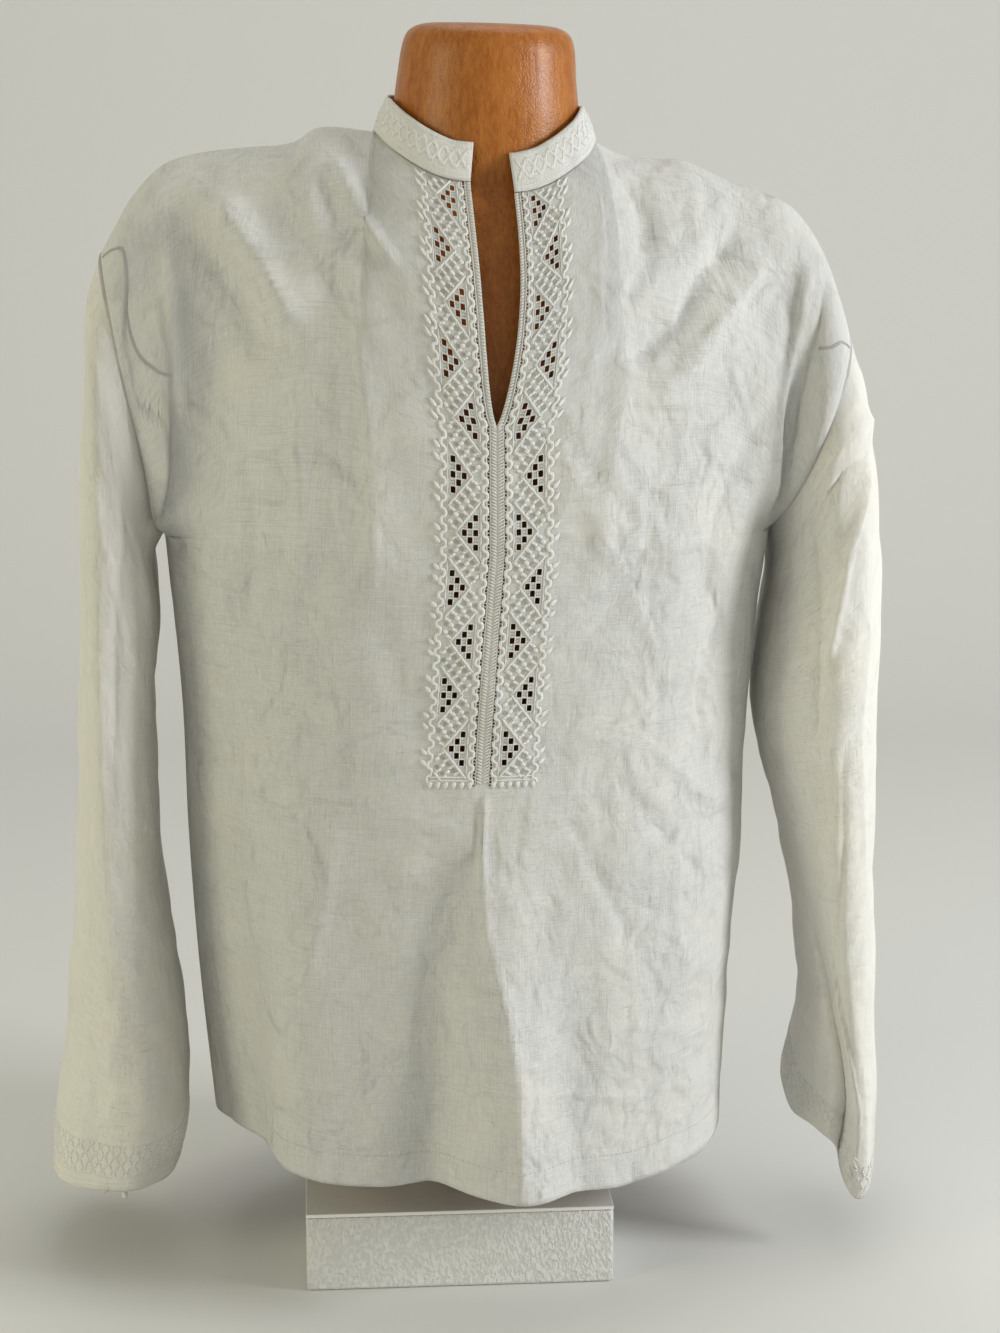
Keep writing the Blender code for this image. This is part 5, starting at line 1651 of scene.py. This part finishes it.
def loop_seam(stitches, route, normal, kind):
    """A felled seam's ridge along a route of points in space."""
    def place(offset, along, lift):
        at = np.clip(along, 0.0, len(route) - 1.0)
        low = np.minimum(at.astype(int), len(route) - 2)
        share = (at - low)[:, None]
        point = mix(route[low], route[low + 1], share)
        out = unit(mix(normal[low], normal[low + 1], share))
        run = unit(route[low + 1] - route[low])
        return point + np.cross(run, out) * offset[:, None] + out * lift[:, None]

    stitches.follow(place, points_of(0.0, np.arange(len(route), dtype=float))[None], kind)


def work_seams(stitches):
    """Felled seams where the sleeves and sides join, and the lines of stitching beside the armholes."""
    angles = np.linspace(0.0, SEAM_LAST_ANGLE, SEAM_STEPS + 1)
    turn = np.radians(angles)
    steps = np.linspace(0.0, 1.0, SEAM_STEPS)
    for side in (-1, 1):
        route = armhole_point(side, angles)
        normal = unit(points_of(side * (SEAM_OUT_LEAST + SEAM_OUT_MORE * np.cos(turn) ** 2),
                                -SEAM_FORWARD * np.sin(turn), SEAM_UP * np.cos(turn)))
        loop_seam(stitches, route + normal * CLOTH, normal, ARMHOLE_RIDGE)
        route = trunk_point(SHIRT, -1, np.full(SEAM_STEPS, float(side)), steps)
        normal = np.tile(np.array((float(side), 0.0, 0.0)), (SEAM_STEPS, 1))
        loop_seam(stitches, route + normal * CLOTH * SIDE_SEAM_AWAY, normal, SIDE_RIDGE)
        surface = partial(front_point, side=side)
        places = np.array(SLEEVE_SEAMS[side])
        across, up = curve_at(np.linspace(0.0, 1.0, len(places)), places, steps).T
        normal = surface_normal(surface, across, up)
        loop_seam(stitches, surface(across, up) + normal * CLOTH, normal, SLEEVE_RIDGE)


def work_hem(stitches, face):
    """Running stitches above the hem of the front or back."""
    def surface(across, up):
        if face < 0:
            return front_point(across, up, np.where(across < 0.0, -1, 1))
        return panel_point(1, across, up)

    def place(across, length, lift):
        return off_cloth(surface, across, up_at(length), lift, -face)

    half_width = (SHIRT_RINGS[0].right - SHIRT_RINGS[0].left) * HEM_FIT
    starts = points_of(np.arange(-HEM_END, HEM_END, HEM_DASH / half_width), HEM_DEPTH)
    stitches.lay(place, starts, starts + (HEM_DASH * HEM_DASH_SHARE / half_width, 0.0), HEM_STITCH)


collar_work = needlework("collar_needlework", thread, work_collar)
cuff_left_work = needlework("cuff_left_needlework", thread, work_cuff, -1)
cuff_right_work = needlework("cuff_right_needlework", thread, work_cuff, 1)
hem_front_work = needlework("hem_front_stitches", thread, work_hem, -1)
hem_back_work = needlework("hem_back_stitches", thread, work_hem, 1)
needlework("seam_ridges", linen, work_seams)


# Tie in the left cuff

def build_tie():
    """A twisted cord with its two cut ends drawn in."""
    share = np.linspace(0.0, 1.0, TIE_STEPS + 1)
    route = curve_at(np.linspace(0.0, 1.0, len(TIE_KNOTS)), TIE_KNOTS, share)
    run = unit(np.gradient(route, axis=0))
    across = unit(np.cross(run, np.array((0.0, -1.0, 0.0))))
    out = np.cross(across, run)
    turn = np.arange(TIE_SIDES) * 2.0 * math.pi / TIE_SIDES
    length = lengths_along(route)[-1]
    twist = share * length / TIE_TWIST * 2.0 * math.pi
    plies = 1.0 - TIE_PLY_DEPTH * np.abs(np.sin(TIE_PLIES / 2 * (turn[None] + twist[:, None])))
    ends = mix(TIE_END_SHARE, 1.0, smooth(share / TIE_END) * smooth((1.0 - share) / TIE_END))
    radius = TIE_DIAMETER / 2 * plies * ends[:, None]
    ring = across[:, None] * np.cos(turn)[:, None] + out[:, None] * np.sin(turn)[:, None]
    points = route[:, None] + ring * radius[..., None]
    maps = points_of(np.linspace(0.0, math.pi * TIE_DIAMETER, TIE_SIDES + 1), (share * length)[:, None])
    verts, faces, uvs = grid_arrays(points, maps, wrap=True, flip=True)
    first = list(range(TIE_SIDES))
    last = [TIE_STEPS * TIE_SIDES + i for i in reversed(first)]
    uvs = np.concatenate((uvs, np.zeros((2 * TIE_SIDES, 2))))
    piece = cloth_piece("cuff_tie_cord", verts, faces.tolist() + [first, last], uvs, plain_thread,
                        "cuff_tie_left")


build_tie()


# Dress form and stand

def form_shoulder(rows):
    share = np.arange(FORM_SHOULDER_STEPS + 1) / FORM_SHOULDER_STEPS
    row = row_at(rows, share * FORM_SHOULDER_REACH)
    low = FORM_CLEARANCE + FORM_SHOULDER_ROUND * share ** FORM_SHOULDER_POWER
    return tuple(ShoulderRow(*values) for values in zip(share, row.x, row.z - low))


def form_trunk(work):
    """Add the form's front and back to a bmesh, and give the ring of vertices round its neck."""
    flat = {-1: 0.0, 1: 0.0}
    form = Trunk(FORM_RINGS, (form_shoulder(LEFT_SHOULDER), form_shoulder(RIGHT_SHOULDER)),
                 FORM_NECK_RADIUS, FORM_NECK_FRONT, FORM_NECK_BACK, flat, flat)
    inner = np.linspace(-NECK_SHARE, NECK_SHARE, FORM_NECK_COLUMNS + 1)
    outer = np.linspace(NECK_SHARE, 1.0, FORM_SIDE_COLUMNS + 1)[1:]
    across = np.concatenate((-outer[::-1], inner, outer))
    ups = np.linspace(0.0, 2.0, FORM_ROWS + 1)
    tops = []
    for face in (-1, 1):
        points = trunk_point(form, face, *np.meshgrid(across, ups)) + FORM_OFFSET
        grid = [[work.verts.new(p) for p in row] for row in points]
        for low, high in zip(grid, grid[1:]):
            for i in range(len(low) - 1):
                work.faces.new((low[i], low[i + 1], high[i + 1], high[i]))
        tops.append(grid[-1])
    first, last = FORM_SIDE_COLUMNS, FORM_SIDE_COLUMNS + FORM_NECK_COLUMNS
    return tops[0][first:last + 1] + tops[1][first + 1:last][::-1]


def form_neck(work, ring):
    """Add the neck block to a bmesh, from the ring round the neck up to its rounded top."""
    angle = 2.0 * math.pi * np.arange(len(ring)) / len(ring)
    levels = [np.array([v.co for v in ring]) - FORM_OFFSET]
    for row in FORM_NECK:
        off = -row.radius * np.cos(angle)
        levels.append(points_of(row.x + off, -row.depth * np.sin(angle), row.height - FORM_NECK_TILT * off))
    middle = np.array((FORM_NECK[-1].x, 0.0, FORM_NECK_TOP))
    levels.append(mix(levels[-1], middle, 0.5) + np.array((0.0, 0.0, FORM_CROWN_LIFT)))
    levels.append(middle + (levels[-1] - middle) * FORM_MIDDLE_SHARE)
    keys = lengths_along([level[0] for level in levels])
    for key in np.linspace(0.0, keys[-1], FORM_NECK_ROWS + 1)[1:]:
        points = curve_at(keys, np.stack(levels), np.full(len(ring), key)) + FORM_OFFSET
        higher = [work.verts.new(p) for p in points]
        for i in range(len(ring)):
            after = (i + 1) % len(ring)
            work.faces.new((ring[i], ring[after], higher[after], higher[i]))
        ring = higher
    work.faces.new(ring)


def build_form():
    work = bmesh.new()
    form_neck(work, form_trunk(work))
    bmesh.ops.remove_doubles(work, verts=work.verts, dist=WELD)
    bmesh.ops.contextual_create(work, geom=[e for e in work.edges if e.is_boundary])
    bmesh.ops.recalc_face_normals(work, faces=work.faces)
    mesh = bpy.data.meshes.new("form_skin")
    work.to_mesh(mesh)
    work.free()
    mesh.materials.append(leather_material())
    mesh.shade_smooth()
    mesh.set_sharp_from_angle(angle=math.radians(FORM_SHARP_ANGLE))
    belonging(placed("form_skin", mesh), "tan_leather", "dress_form")


def build_post():
    """Turned steel post with eased ends."""
    low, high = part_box("stand_post")
    radius = (high.x - low.x) / 2
    profile = ((0.0, low.z), (radius - POST_EASE, low.z), (radius, low.z + POST_EASE),
               (radius, high.z - POST_EASE), (radius - POST_EASE, high.z), (0.0, high.z))
    mesh = bpy.data.meshes.new("post_steel")
    mesh.from_pydata([(r, 0.0, z) for r, z in profile], [(i, i + 1) for i in range(len(profile) - 1)], [])
    mesh.materials.append(steel_material("polished_post", (0.66, 0.66, 0.65), roughness=0.08, smudge=0.06))
    mesh.shade_smooth()
    piece = placed("post_steel", mesh)
    piece.location = ((low.x + high.x) / 2, (low.y + high.y) / 2, 0.0)
    screw = piece.modifiers.new("turned", "SCREW")
    screw.steps = screw.render_steps = POST_SIDES
    screw.use_merge_vertices = True
    screw.merge_threshold = POST_WELD
    screw.use_normal_calculate = True
    edges = piece.modifiers.new("crisp ends", "EDGE_SPLIT")
    edges.split_angle = math.radians(POST_SHARP_ANGLE)
    belonging(piece, "polished_steel", "stand_post")


build_form()
build_post()
# Painted reflection: the plate is a pale, mostly diffuse colour with little metal, standing in for the
# bright reflections that polished steel would show
plate_steel_painted_reflection = steel_material("plate_steel_painted_reflection", (0.92, 0.92, 0.88), roughness=0.36, smudge=0.14, metal=0.15)
for name, material in (("base_plate", plate_steel_painted_reflection), ("base_block", leatherette_material())):
    for material_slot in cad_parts[name].material_slots:
        material_slot.material = material


# Stage, lights and camera

def build_stage():
    """Pale floor that sweeps up into a backdrop."""
    profile = [(SWEEP_FRONT, 0.0), (SWEEP_BEND_FROM, 0.0)]
    for i in range(1, SWEEP_STEPS + 1):
        turn = math.pi / 2 * i / SWEEP_STEPS
        y = SWEEP_BEND_FROM + SWEEP_RADIUS * math.sin(turn)
        profile.append((y, SWEEP_RADIUS * (1.0 - math.cos(turn))))
    profile.append((SWEEP_BEND_FROM + SWEEP_RADIUS, SWEEP_TOP))
    verts = [(x, y, z - SWEEP_BELOW) for x in (-SWEEP_HALF_WIDTH, SWEEP_HALF_WIDTH) for y, z in profile]
    count = len(profile)
    mesh = bpy.data.meshes.new("studio_sweep")
    mesh.from_pydata(verts, [], [(i, i + count, i + count + 1, i + 1) for i in range(count - 1)])
    mesh.shade_smooth()
    mesh.materials.append(new_material("pale_sweep", SWEEP_COLOUR, roughness=0.9)[0])
    placed("studio_sweep", mesh)


build_stage()
for name, place, target, size, power, colour in LIGHTS:
    data = bpy.data.lights.new(name, "AREA")
    data.shape = "RECTANGLE"
    data.size, data.size_y = size
    data.energy = power
    data.color = colour
    light = placed(name, data)
    light.location = place
    light.rotation_euler = (Vector(target) - Vector(place)).to_track_quat("-Z", "Y").to_euler()

world = bpy.data.worlds.new("studio")
world.use_nodes = True
background = world.node_tree.nodes["Background"]
background.inputs["Color"].default_value = WORLD_COLOUR
background.inputs["Strength"].default_value = WORLD_STRENGTH
bpy.context.scene.world = world
bpy.context.scene.view_settings.view_transform = "Standard"

camera_data = bpy.data.cameras.new("photo_view")
camera_data.sensor_width = CAMERA_SENSOR
camera_data.lens = CAMERA_LENS
camera = placed("photo_view", camera_data)
camera.location = CAMERA_PLACE
camera.rotation_euler = (math.radians(90.0 - CAMERA_PITCH), 0.0, -math.radians(CAMERA_YAW))
bpy.context.scene.camera = camera
